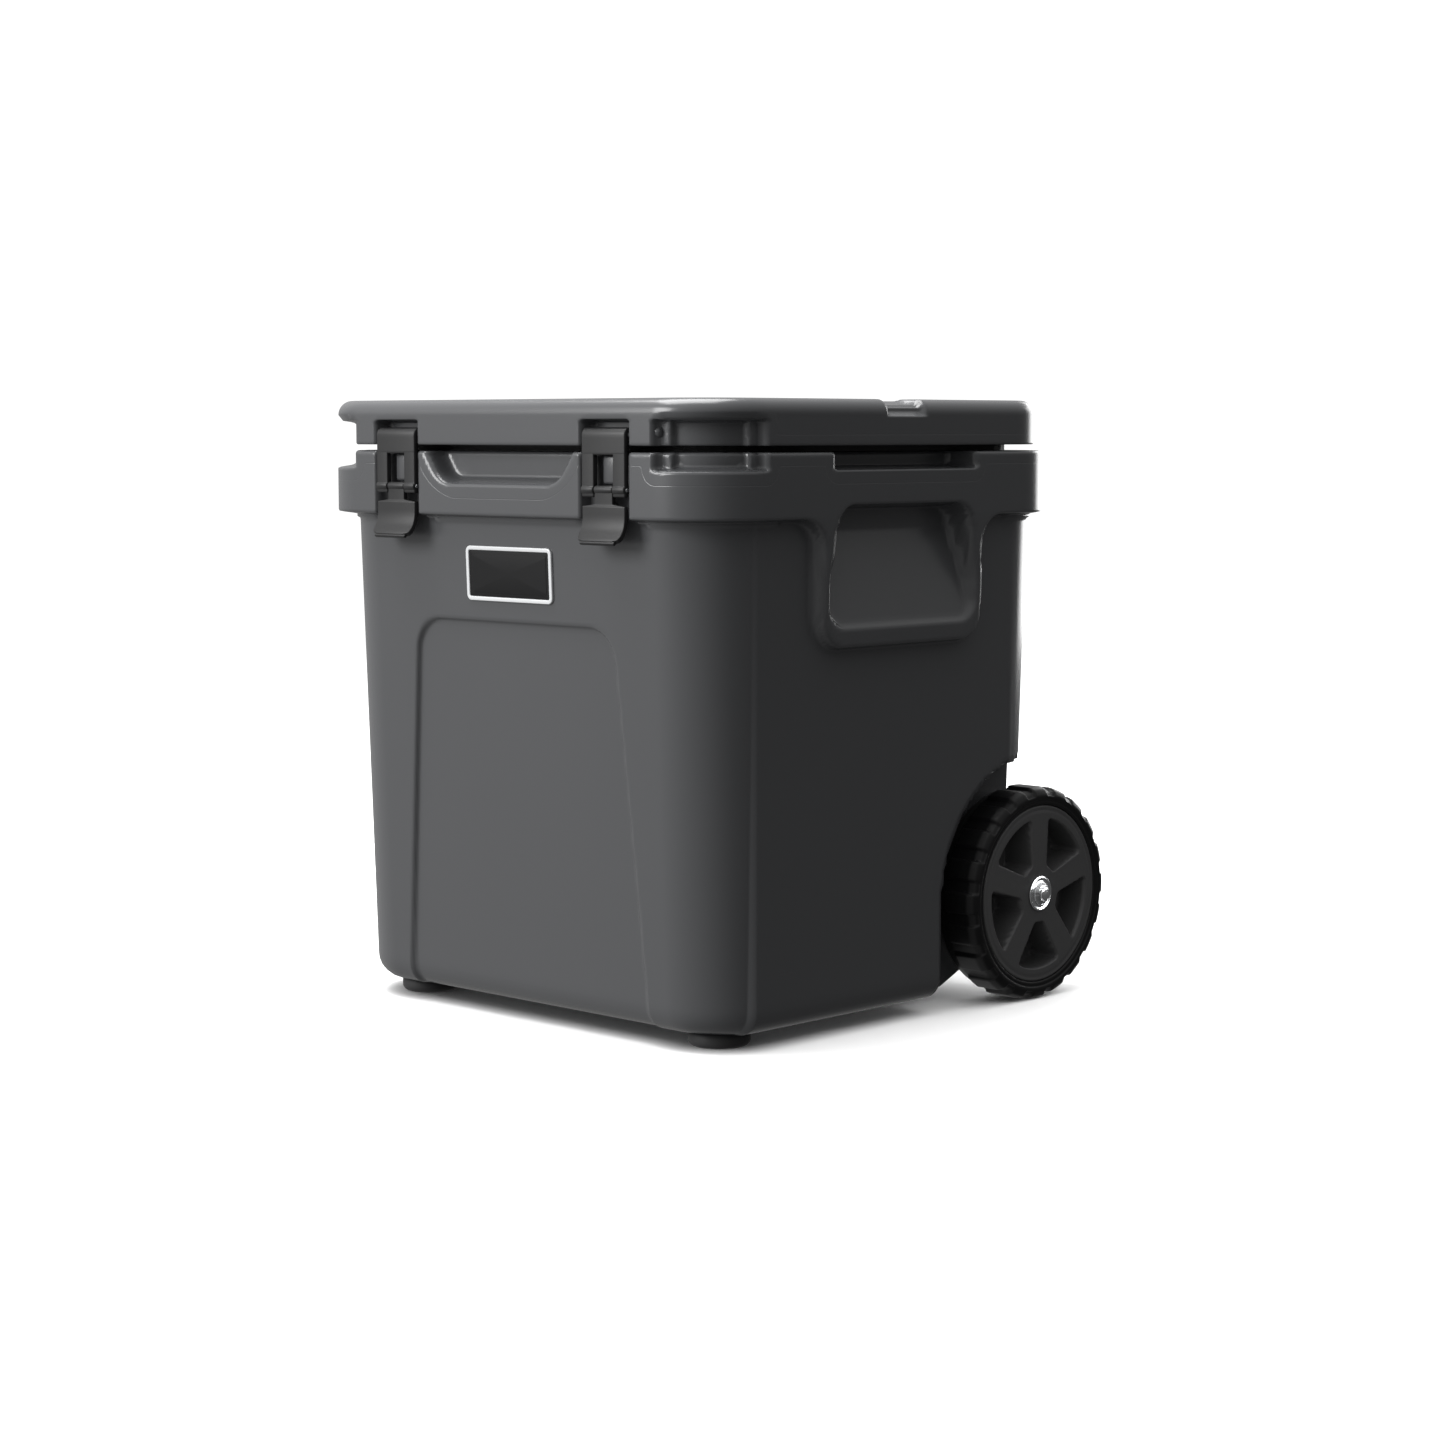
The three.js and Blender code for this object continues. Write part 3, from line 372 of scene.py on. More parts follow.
def ring(
    outer: float,
    inner: float,
    start: float,
    end: float,
    centre: tuple[float, float, float],
    axis: int,
    edge: float = 0.5,
    facets: int = 48,
) -> Array:
    """Hollow round bar: a rectangle of wall with eased corners carried round; its rows join up."""
    profile = filleted([(inner, start), (outer, start), (outer, end), (inner, end)], edge)
    return turned(profile, centre, axis, facets)


def ribbon(path: Array, low: Array, high: Array, thickness: float, edge: float = 0.9) -> Array:
    """Strip of plate bent along a path in depth and height, as wide as low to high in X.

    The section is an eased rectangle set square to the path. Both ends draw in by the edge radius.

    Args:
        path: Rows of depth and height along the middle of the plate.
        low: Lowest X at each row.
        high: Highest X at each row.
        thickness: Plate thickness.
        edge: Radius of all edges.

    Returns:
        A grid for `Surface.patch`.
    """
    step = np.gradient(path, axis=0)
    step /= np.linalg.norm(step, axis=1, keepdims=True)
    square = np.stack([-step[:, 1], step[:, 0]], 1)
    bend = np.linspace(0, math.pi / 2, 4)
    shrink = edge * (1 - np.sin(bend))
    start = path[0] - step[0] * (edge * np.cos(bend))[:, None] + step[0] * edge
    finish = path[-1] + step[-1] * (edge * np.cos(bend[::-1]))[:, None] - step[-1] * edge
    inside = (np.linalg.norm(path - path[0], axis=1) > edge * 1.2) & (
        np.linalg.norm(path - path[-1], axis=1) > edge * 1.2
    )
    spine = np.concatenate([start, path[inside], finish])
    normal = np.concatenate([np.repeat(square[:1], 4, 0), square[inside], np.repeat(square[-1:], 4, 0)])
    inset = np.concatenate([shrink, np.zeros(inside.sum()), shrink[::-1]])
    lo = np.concatenate([np.repeat(low[0], 4), low[inside], np.repeat(low[-1], 4)]) + inset
    hi = np.concatenate([np.repeat(high[0], 4), high[inside], np.repeat(high[-1], 4)]) - inset
    half = thickness / 2 - inset
    turn = np.linspace(0, math.pi / 2, 5)
    angle = np.concatenate([turn + k * math.pi / 2 for k in range(4)])
    right = np.repeat([1, 0, 0, 1], 5)
    up = np.repeat([1, 1, -1, -1], 5)
    rounding = np.minimum(edge, half * 0.95)[:, None]
    x = np.where(right, hi[:, None] - rounding, lo[:, None] + rounding) + np.cos(angle) * rounding
    off = up * (half[:, None] - rounding) + np.sin(angle) * rounding
    grid = np.zeros((len(spine), len(angle), 3))
    grid[..., 0] = x
    grid[..., 1] = spine[:, :1] + normal[:, :1] * off
    grid[..., 2] = spine[:, 1:] + normal[:, 1:] * off
    return grid


# ---------------------------------------------------------------- tub and lid skins
def meet(a: Array, b: Array, r: float) -> Array:
    """Distance inside both of two regions, with their shared corner rounded to radius r."""
    return np.maximum(r, np.minimum(a, b)) - np.hypot(np.maximum(r - a, 0), np.maximum(r - b, 0))


def unite(a: Array, b: Array, r: float) -> Array:
    """Distance inside either of two regions, with the inside corner between them filled to radius r."""
    return np.hypot(np.maximum(r + a, 0), np.maximum(r + b, 0)) - np.maximum(r, np.minimum(-a, -b))


def cast(
    x: Array,
    y: Array,
    nx: Array,
    ny: Array,
    rect: RoundRect,
    front: Array | None = None,
    back: Array | None = None,
) -> Array:
    """Distance from core points along their normals to a rounded rectangle.

    It is the nearer straight side, or the corner circle where the ray leaves through a corner.

    Args:
        x: Core X.
        y: Core depth.
        nx: Normal X.
        ny: Normal depth.
        rect: The rounded rectangle.
        front: Front depth where it changes with height.
        back: Back depth where it changes with height.

    Returns:
        The distances.
    """
    lo = rect.front if front is None else front
    hi = rect.back if back is None else back
    with np.errstate(divide="ignore", invalid="ignore"):
        to_side = np.where(nx > 1e-9, (rect.half - x) / nx, np.inf)
        to_face = np.where(ny < -1e-9, (lo - y) / ny, np.where(ny > 1e-9, (hi - y) / ny, np.inf))
    straight = np.minimum(to_side, to_face)
    cx = rect.half - rect.corner
    cy = np.where(ny < 0, lo + rect.corner, hi - rect.corner)
    gx, gy = cx - x, cy - y
    along = nx * gx + ny * gy
    arc = along + np.sqrt(np.maximum(along**2 - gx**2 - gy**2 + rect.corner**2, 0))
    px, py = x + nx * straight, y + ny * straight
    in_corner = (px > cx) & np.where(ny < 0, py < cy, py > cy) & (np.abs(ny) > 1e-9)
    return np.where(in_corner, arc, straight)


@dataclass
class Skin:
    """A moulded skin: a wall whose reach from a core rectangle is a function of arc length q and height z."""

    outline: RoundRect

    def columns(self) -> Array:
        """Arc lengths of the columns on one half, closer together on the front and sides."""
        s = self.outline.lengths()
        return spaced([(0, 2.7), (s[1] - 4, 2.4), (s[2] + 4, 3.3), (s[3], 5.0), (s[4], 5.0), (s[5], 1)])

    def gathered(
        self, q: Array, z: Array, edges: Callable[[Array, Array], list[tuple[Array, float]]]
    ) -> tuple[Array, Array]:
        """Draws grid points towards the middle of each feature's edge.

        A point at distance d from an edge moves down the distance's slope by 0.36 d exp(-(d/8)²), twice.

        Args:
            q: Arc lengths.
            z: Heights.
            edges: Gives (distance, run) of each feature.

        Returns:
            Moved arc lengths and heights.
        """
        step = 0.05
        for _ in range(2):
            here, right, over = edges(q, z), edges(q + step, z), edges(q, z + step)
            for (d, run), (dq, _), (dz, _) in zip(here, right, over):
                gq, gz = (dq - d) / step, (dz - d) / step
                norm = np.maximum(gq**2 + gz**2, 0.25)
                off = d - run / 2
                pull = 0.36 * off * np.exp(-((off / 8.0) ** 2)) / norm
                pull = np.where(np.abs(off) < 40, pull, 0)
                q, z = q - gq * pull, z - gz * pull
        return q, z

    @staticmethod
    def whole(half: Array) -> Array:
        """Mirrors a half grid in X and joins both into full rings, front centre first."""
        mirror = half[:, 1:-1][:, ::-1] * np.array([-1.0, 1.0, 1.0])
        return np.concatenate([half, mirror], 1)

    @staticmethod
    def whole_marks(half: Array) -> Array:
        """Mirrors one number per point as `whole` does."""
        return np.concatenate([half, half[:, 1:-1][:, ::-1]], 1)

    @staticmethod
    def out(core: tuple[Array, ...], reach: Array, z: Array | float) -> Array:
        """Points at a reach along the normals of one row of core points.

        Args:
            core: Core X and depth, and the normal's X and depth.
            reach: Distance along the normals, one row of points for each of its rows.
            z: Height of each point.

        Returns:
            The points.
        """
        x, y, nx, ny = core
        return np.stack([x + nx * reach, y + ny * reach, z + 0 * x], -1)

    @staticmethod
    def towards(row: Array, centre: tuple[float, float], shares: list[float], z: list[float]) -> Array:
        """Rows between one row and a centre: centre + (row - centre) times each share, at the heights given.

        Args:
            row: Points of the row.
            centre: X and depth of the centre.
            shares: Share of the way out for each new row.
            z: Height of each new row.

        Returns:
            The new rows.
        """
        mid = np.array([centre[0], centre[1], 0.0])
        share = np.array(shares)[:, None, None]
        rows = mid + (row[None] - mid) * share
        rows[..., 2] = np.array(z)[:, None]
        return rows


@dataclass
class Tub(Skin):
    """Moulded tub with its rim band, shields, hand pockets, wheel wells and handle channel."""

    outline: RoundRect = RoundRect(241, 0, 439.8, 62.5)
    wall: RoundRect = RoundRect(227, 12.6, 437.9, 63)
    seat: RoundRect = RoundRect(200.3, 32.7, 399.3, 51)
    mouth: RoundRect = RoundRect(186.8, 46.2, 385.8, 38)
    draft: float = 0.0395
    draft_level: float = 400
    bottom: float = 13
    fillet: float = 20
    rim_top: float = 469.2
    rim_round: float = 3
    band_bottom: float = 416
    ledge_bottom: float = 411.2
    side_centre: float = 226.6
    latch_x: float = 124.3
    latch_half: float = 27.8
    axle: tuple[float, float] = (404.6, 91.5)
    well_radius: float = 115
    well_wall: float = 187
    merge: float = 24
    notch_half: float = 88
    shield_half: float = 98
    channel_half: float = 74
    channel_floor: float = 419
    hinge_x: float = 128
    hinge_half: float = 35
    seat_step: float = 3.3
    slope_start: float = 335
    slope_top: float = 90

    def reach(self, q: Array, z: Array) -> tuple[Array, ...]:
        """Core points, normals and reach of the plain drafted wall.

        Args:
            q: Arc lengths.
            z: Heights.

        Returns:
            Core X and depth, the normal's X and depth, the reach and the station.
        """
        u = self.outline.station(q)
        x, y, nx, ny = self.outline.at(u)
        x, y = x - nx * self.outline.corner, y - ny * self.outline.corner
        shift = self.draft * (self.draft_level - z)
        front = self.wall.front + shift
        back = self.wall.back - shift
        return x, y, nx, ny, cast(x, y, nx, ny, self.wall, front, back), u

    def regions(self, q: Array, z: Array) -> dict[str, Array]:
        """Distance inside each moulded feature, in millimetres.

        Args:
            q: Arc lengths.
            z: Heights.

        Returns:
            Distances by feature, negative outside it.
        """
        u = self.outline.station(q)
        bx, by, _, _ = self.outline.at(u)
        s = self.outline.lengths()
        fore, flank = u < 2, (u > 1) & (u < 4)
        far = np.full(q.shape, FAR_OUTSIDE)
        along = np.abs(by - self.side_centre)
        latch = np.where(fore, self.latch_half - np.abs(bx - self.latch_x), far)
        lean = (20 / 29.2) * (z - 440)
        finger = np.where(u < 1, meet(0.83 * (70 + lean - bx), z - 441.5, 12), far)
        ends = np.minimum(q - s[1] + 1.8, s[2] + 1.8 - q)
        spread = 120.3 + np.maximum(301 - z, 0) * 0.0896
        pocket_half = np.interp(z, [322, 345, 365, 408, 432], [88, 91.3, 91.5, 83.8, 77])
        return {
            "latch": latch,
            "finger": finger,
            "corner": meet(ends, z - 454.3, 3.5),
            "corner_deep": meet(ends - 13, z - 455.3, 2.5),
            "notch": np.where(flank, meet(self.notch_half - along, z - 454.8, 4), far),
            "shield": np.where(flank, meet(self.shield_half - along, z - 313.5, self.merge), far),
            "pocket": np.where(flank, meet(meet(pocket_half - along, z - 328, 19), 428.4 - z, 15), far),
            "panel": np.where(fore, meet(spread - bx, 332 - z, 31), far),
            "band": z - self.band_bottom + 0 * q,
        }

    def edges(self, q: Array, z: Array) -> list[tuple[Array, float]]:
        """Distances and runs of the features that grid lines gather at.

        Args:
            q: Arc lengths.
            z: Heights.

        Returns:
            (distance, run) of each feature.
        """
        r = self.regions(q, z)
        runs = {
            "latch": 2.6, "finger": 7, "corner": 2.6, "corner_deep": 3, "notch": 3, "pocket": 5, "panel": 3.4
        }
        pairs = [(r[name], run) for name, run in runs.items()]
        pairs.append((unite(r["band"], r["shield"], self.merge), 0.6))
        return pairs

    def wall_reach(self, q: Array, z: Array) -> tuple[Array, ...]:
        """Outer reach with every feature: eased steps of each depth along the wall's normal.

        Args:
            q: Arc lengths.
            z: Heights.

        Returns:
            Core X and depth, the normal's X and depth, the reach and the seam distances.
        """
        x, y, nx, ny, tub, u = self.reach(q, z)
        r = self.regions(q, z)
        raised = unite(r["band"], r["shield"], self.merge)
        face = self.outline.corner - 3.0 * np.clip((418 - z) / 95, 0, 1)
        outer = tub + (face - tub) * ease((raised + 1.4) / 3.4)
        beside = np.where(u < 1, 1 - ease((36 + r["latch"] - self.latch_half + 3) / 3), 1.0)
        ledge = 2.6 * ease((z - self.ledge_bottom) / 1.6) * beside * (
            1 - ease((raised + 8) / 6) * (r["shield"] > -40)
        )
        outer = np.maximum(outer, tub + ledge)
        inside_latch = ease(r["latch"] / 2.6) * ease((z - 405) / 6)
        outer = outer + (np.minimum(outer, tub) - outer) * inside_latch
        deep = np.interp(z, [328, 333, 406.4], [0.5, 3.5, 27])
        depth = np.maximum.reduce(
            [
                18 * ease(r["finger"] / 7),
                9 * ease(r["corner"] / 2.6) + 6 * ease(r["corner_deep"] / 3),
                30 * ease(r["notch"] / 3),
                deep * ease(r["pocket"] / 5),
                4 * ease(r["panel"] / 3.4),
            ]
        )
        rim_edge = np.minimum.reduce([self.rim_top - z, -r["notch"], -r["corner"], -r["finger"]])
        marks = np.where(z > self.band_bottom + 6, rim_edge - 10.5, NO_SEAM)
        return x, y, nx, ny, outer - depth, marks

    def cleared(self, points: Array) -> Array:
        """Clears the wheel wells, the rising underside, the handle channel and the hinge seats.

        X is held under the well's wall inside the wheel arch and depth under the channel's floor. Low
        heights are squeezed up on to the slope behind the feet.

        Args:
            points: Points with X, depth and height on the last axis.

        Returns:
            The moved points.
        """
        x, y, z = points[..., 0].copy(), points[..., 1].copy(), points[..., 2].copy()
        ay, az = self.axle
        arch = self.well_radius - np.hypot(y - ay, z - az)
        below = np.minimum(y - (ay - self.well_radius), az - z)
        behind = np.minimum(y - ay, az + self.well_radius - z)
        inside = np.maximum.reduce([arch, below, behind])
        x = np.minimum(x, self.well_wall + 60 * (1 - ease((inside + 2) / 6)))
        channel = np.minimum(self.channel_half - x, z - 112)
        y = np.minimum(y, self.channel_floor + 60 * (1 - ease((channel + 1) / 3)))
        hinge = np.minimum(self.hinge_half - np.abs(x - self.hinge_x), z - 440.9)
        y = np.minimum(y, 436.4 + 60 * (1 - ease((hinge + 0.5) / 1.2)))
        knuckle = np.minimum(hinge, z - 465.5)
        y = np.minimum(y, 429 + 60 * (1 - ease((knuckle + 0.5) / 1.2)))
        lift = np.maximum(0.43 * (y - self.slope_start), 0)
        squeezed = z + lift * (self.slope_top - z) / (self.slope_top - self.bottom)
        z = np.where(z < self.slope_top, squeezed, z)
        return np.stack([x, y, z], -1)

    def grid(self) -> tuple[Array, Array]:
        """Whole closed skin from the underside over the rim and down inside to the hidden floor.

        Returns:
            The points and their seam distances.
        """
        cols = self.columns()
        levels = spaced(
            [
                (self.bottom + self.fillet, 5.5),
                (205, 6.5),
                (296, 2.9),
                (340, 3.4),
                (404, 1.7),
                (self.rim_top - self.rim_round, 1),
            ]
        )
        q0, z0 = np.meshgrid(cols, levels)
        q, z = self.gathered(q0, z0, self.edges)
        q[:, 0], q[:, -1] = q0[:, 0], q0[:, -1]
        z[0], z[-1] = z0[0], z0[-1]
        x, y, nx, ny, reach, marks = self.wall_reach(q, z)
        wall = np.stack([x + nx * reach, y + ny * reach, z], -1)
        bend = np.linspace(0, math.pi / 2, 7)[:-1, None]
        inset, low = self.fillet * (1 - np.sin(bend)), self.bottom + self.fillet * (1 - np.cos(bend))
        core = (x[0], y[0], nx[0], ny[0])
        foot = self.out(core, reach[0] - inset, low)
        under = self.towards(foot[0], (0, 225), [0.2, 0.4, 0.6, 0.75, 0.85, 0.93, 0.98], [self.bottom] * 7)
        turn = np.linspace(0, math.pi / 2, 6)[1:, None]
        draw, high = self.rim_round * (1 - np.cos(turn)), self.rim_top - self.rim_round * (1 - np.sin(turn))
        core = (x[-1], y[-1], nx[-1], ny[-1])
        rim = self.out(core, reach[-1] - draw, high)
        outside = self.cleared(np.concatenate([under, foot, wall, rim]))
        lip = self.out(core, cast(*core, self.seat), self.rim_top)
        hole = self.out(core, cast(*core, self.mouth), self.rim_top - self.seat_step)
        shares = np.array([0.3, 0.6, 0.85, 0.985])[:, None, None]
        top = outside[-1] + (lip - outside[-1]) * shares
        drop = np.stack([lip, lip - np.array([0, 0, self.seat_step]), hole])
        inner = self.towards(hole, (0, 216), [0.995, 0.96, 0.93, 0.88, 0.7, 0.3], [455, 250, 75, 52, 50, 50])
        half = np.concatenate([outside, top, drop, inner])
        seam = np.full(half.shape[:2], NO_SEAM)
        first = len(under) + len(foot)
        seam[first : first + len(marks)] = marks
        return self.whole(half), self.whole_marks(seam)

    def build(self, finish: bpy.types.Material) -> None:
        """Makes the tub with its two latch posts and dresses it.

        Args:
            finish: Material of the skin.
        """
        grid, marks = self.grid()
        shell = Surface().patch(grid, marks=marks)
        for _, side in SIDES:
            x = side * self.latch_x
            shell.patch(block((x - 7.9, 5.6, 444.2), (x + 7.9, 16, 467), 3, 2.4, axis=2))
        shell.piece("tub_skin", "cooler", "charcoal_plastic", finish, ("body_shell",))


@dataclass
class Lid(Skin):
    """Moulded lid skin with rounded top edge, latch and corner recesses, strap grooves and handle notch."""

    outline: RoundRect = RoundRect(240, 0, 431, 62.5)
    bottom: float = 474.2
    top: float = 511
    fillet: float = 12
    edge: float = 1.6
    recess_top: float = 495.2
    side_centre: float = 226.6
    latch_x: float = 124.3
    latch_half: float = 27.8
    strap_half: float = 24.2
    ribs: float = 9
    crown_drop: float = 1.4
    room: float = 46

    def regions(self, q: Array, z: Array) -> dict[str, Array]:
        """Distance inside each recess of the lid's wall.

        Args:
            q: Arc lengths.
            z: Heights.

        Returns:
            Distances by recess, negative outside it.
        """
        u = self.outline.station(q)
        bx, by, _, _ = self.outline.at(u)
        s = self.outline.lengths()
        far = np.full(q.shape, FAR_OUTSIDE)
        ends = np.minimum(q - s[1] + 1.8, s[2] + 1.8 - q)
        return {
            "latch": np.where(
                u < 2, meet(self.latch_half - np.abs(bx - self.latch_x), self.recess_top - z, 4), far
            ),
            "corner": meet(ends, self.recess_top - z, 3.5),
            "corner_deep": meet(ends - 13, self.recess_top - 1 - z, 2.5),
            "strap": np.where(
                (u > 1) & (u < 4), meet(self.strap_half - np.abs(by - self.side_centre), z - 496.9, 2), far
            ),
        }

    def edges(self, q: Array, z: Array) -> list[tuple[Array, float]]:
        """Distances and runs of the recesses that grid lines gather at."""
        r = self.regions(q, z)
        return [(r["latch"], 2.6), (r["corner"], 2.6), (r["corner_deep"], 3), (r["strap"], 3)]

    def cleared(self, points: Array) -> Array:
        """Holds depth under the handle notch and the hinge seats at the back.

        Args:
            points: Points with X, depth and height on the last axis.

        Returns:
            The moved points.
        """
        x, y, z = points[..., 0], points[..., 1], points[..., 2]
        y = np.minimum(y, 416 + 60 * (1 - ease((76.5 - x) / 2.5)))
        hinge = np.minimum(35 - np.abs(x - 128), 498.5 - z)
        y = np.minimum(y, 427.6 + 60 * (1 - ease((hinge + 0.5) / 1.2)))
        return np.stack([x, y, z], -1)

    def grid(self) -> tuple[Array, Array]:
        """Whole closed skin: hidden cavity, underside, wall, rounded edge and top.

        Returns:
            The points and their seam distances.
        """
        cols = self.columns()
        levels = spaced([(self.bottom + self.edge, 1.3), (self.top - self.fillet, 1)])
        q0, z0 = np.meshgrid(cols, levels)
        q, z = self.gathered(q0, z0, self.edges)
        q[:, 0], q[:, -1] = q0[:, 0], q0[:, -1]
        z[0], z[-1] = z0[0], z0[-1]
        u = self.outline.station(q)
        x, y, nx, ny = self.outline.at(u)
        x, y = x - nx * self.outline.corner, y - ny * self.outline.corner
        r = self.regions(q, z)
        rib = 0.5 * np.cos((z - 497) * 2 * math.pi / 4.6)
        depth = np.maximum.reduce(
            [
                15 * ease(r["latch"] / 2.6),
                9 * ease(r["corner"] / 2.6) + 6 * ease(r["corner_deep"] / 3),
                (5 + rib) * ease(r["strap"] / 3),
            ]
        )
        reach = self.outline.corner - depth
        wall = np.stack([x + nx * reach, y + ny * reach, z], -1)
        marks = np.minimum.reduce([z - self.bottom, -r["corner"], -r["latch"]]) - 8.5
        marks = np.where((u > 1.3) | (np.abs(marks) > 3), marks, NO_SEAM)
        first_row, last_row = (x[0], y[0], nx[0], ny[0]), (x[-1], y[-1], nx[-1], ny[-1])
        turn = np.linspace(0, math.pi / 2, 4)[:-1, None]
        draw, low = self.edge * (1 - np.sin(turn)), self.bottom + self.edge * (1 - np.cos(turn))
        lower = self.out(first_row, reach[0] - draw, low)
        beside = np.abs(self.outline.at(u[-1])[1] - self.side_centre)
        groove = ease((self.strap_half - beside) / 3) * ((u[-1] > 1) & (u[-1] < 4))
        bend = np.linspace(0, math.pi / 2, 12)[1:, None]
        sunk = (5 + 0.5 * np.cos(bend * self.ribs + 2.9)) * groove
        over = self.fillet * np.cos(bend) - sunk * np.cos(bend)
        rise = self.fillet * np.sin(bend) - sunk * np.sin(bend)
        base = self.outline.corner - self.fillet
        upper = self.out(last_row, base + over, self.top - self.fillet + rise)
        inward = np.array([3, 6, 9, 12, 15, 18, 20, 22, 24, 27, 31, 36, 42, 48.0])[:, None]
        fading = (5 + 0.5 * np.cos((math.pi / 2 * self.ribs + 2.9) + inward * 1.4)) * (1 - ease(inward / 40))
        dip = np.maximum(fading * groove, self.crown_drop * ease((inward - 17) / 5))
        flat = self.out(last_row, base - inward, self.top - dip)
        crown = self.towards(
            flat[-1], (0, 215), [0.92, 0.8, 0.6, 0.4, 0.2, 0.08], [self.top - self.crown_drop] * 6
        )
        ceiling, sill = self.top - 5, self.bottom
        rim = self.out(first_row, np.full(len(x[0]), self.outline.corner - self.room), 0)
        cave = self.towards(
            rim, (0, 215), [0.1, 0.5, 0.97, 1, 1], [ceiling, ceiling, ceiling, ceiling - 1, sill + 1]
        )
        cave[..., 1] = np.minimum(cave[..., 1], 400)
        shelf_share = np.array([0.02, 0.35, 0.7])[:, None, None]
        shelf_from = np.concatenate([cave[-1][:, :2], np.full((len(x[0]), 1), sill)], 1)
        outer = self.cleared(np.concatenate([lower, wall, upper, flat, crown]))
        shelf = shelf_from + (outer[0] - shelf_from) * shelf_share
        half = np.concatenate([cave, shelf, outer])
        seam = np.full(half.shape[:2], NO_SEAM)
        first = len(cave) + len(shelf) + len(lower)
        seam[first : first + len(marks)] = marks
        return self.whole(half), self.whole_marks(seam)

    def build(self, finish: bpy.types.Material) -> None:
        """Makes the lid skin and dresses it.

        Args:
            finish: Material of the skin.
        """
        grid, marks = self.grid()
        Surface().patch(grid, marks=marks).piece(
            "lid_skin", "lid", "charcoal_plastic", finish, ("lid_shell",)
        )


# ---------------------------------------------------------------- finishes
@dataclass(frozen=True)
class Wire:
    """One socket's value in a node tree; arithmetic on it adds Math nodes."""

    tree: bpy.types.NodeTree
    socket: Any

    def _math(self, operation: str, a: Any, b: Any = 0.0) -> Wire:
        """Adds one Math node on two values.

        Args:
            operation: The node's operation.
            a: First wire or number.
            b: Second wire or number.

        Returns:
            The node's output.
        """
        node = self.tree.nodes.new("ShaderNodeMath")
        node.operation = operation
        for slot, value in zip(node.inputs, (a, b)):
            link(self.tree, slot, value)
        return Wire(self.tree, node.outputs[0])

    def __add__(self, other: Any) -> Wire:
        """Sum."""
        return self._math("ADD", self, other)

    def __radd__(self, other: Any) -> Wire:
        """Sum with a number first."""
        return self._math("ADD", other, self)

    def __sub__(self, other: Any) -> Wire:
        """Difference."""
        return self._math("SUBTRACT", self, other)

    def __rsub__(self, other: Any) -> Wire:
        """Difference from a number."""
        return self._math("SUBTRACT", other, self)

    def __mul__(self, other: Any) -> Wire:
        """Product."""
        return self._math("MULTIPLY", self, other)

    def __truediv__(self, other: Any) -> Wire:
        """Quotient."""
        return self._math("DIVIDE", self, other)

    def size(self) -> Wire:
        """Absolute value."""
        return self._math("ABSOLUTE", self)

    def clamped(self) -> Wire:
        """Held between 0 and 1."""
        return self._math("MINIMUM", self._math("MAXIMUM", self, 0.0), 1.0)


def link(tree: bpy.types.NodeTree, slot: Any, value: Any) -> None:
    """Links a wire to a socket, or sets the socket's own value.

    Args:
        tree: The node tree.
        slot: The socket.
        value: A wire or a plain value.
    """
    if isinstance(value, Wire):
        tree.links.new(value.socket, slot)
    else:
        slot.default_value = value


@dataclass
class Bench:
    """A node tree being filled."""

    tree: bpy.types.NodeTree

    def node(
        self,
        kind: str,
        settings: dict[str, Any] | None = None,
        inputs: dict[Any, Any] | None = None,
        output: Any = 0,
    ) -> Wire:
        """Adds a node.

        Args:
            kind: Node type.
            settings: Attributes set before the sockets.
            inputs: Values or wires by socket name or number.
            output: Socket name or number that is returned.

        Returns:
            The chosen output.
        """
        made = self.tree.nodes.new(kind)
        for name, value in (settings or {}).items():
            setattr(made, name, value)
        for name, value in (inputs or {}).items():
            link(self.tree, made.inputs[name], value)
        return Wire(self.tree, made.outputs[output] if len(made.outputs) else None)

    def noise(
        self, place: Wire, scale: float, detail: float = 3.0, stretch: tuple[float, float, float] = (1, 1, 1)
    ) -> Wire:
        """Noise of about one blot per 1/scale metres, squeezed along each axis by stretch.

        Args:
            place: Coordinates.
            scale: Blots per metre.
            detail: Octaves of finer noise.
            stretch: Squeeze along X, depth and height.

        Returns:
            The noise, about 0.5 on average.
        """
        mapped = self.node("ShaderNodeMapping", None, {"Vector": place, "Scale": stretch})
        return self.node(
            "ShaderNodeTexNoise",
            {"noise_dimensions": "3D"},
            {"Vector": mapped, "Scale": scale, "Detail": detail},
        )

    def tint(self, factor: Wire, dark: tuple[float, float, float], light: tuple[float, float, float]) -> Wire:
        """Colour between two by a factor, through a Mix node.

        Args:
            factor: 0 for the dark colour, 1 for the light one.
            dark: Linear colour at 0.
            light: Linear colour at 1.

        Returns:
            The mixed colour.
        """
        node = self.tree.nodes.new("ShaderNodeMix")
        node.data_type = "RGBA"
        link(self.tree, node.inputs["Factor"], factor)
        node.inputs[6].default_value = (*dark, 1)
        node.inputs[7].default_value = (*light, 1)
        return Wire(self.tree, node.outputs[2])


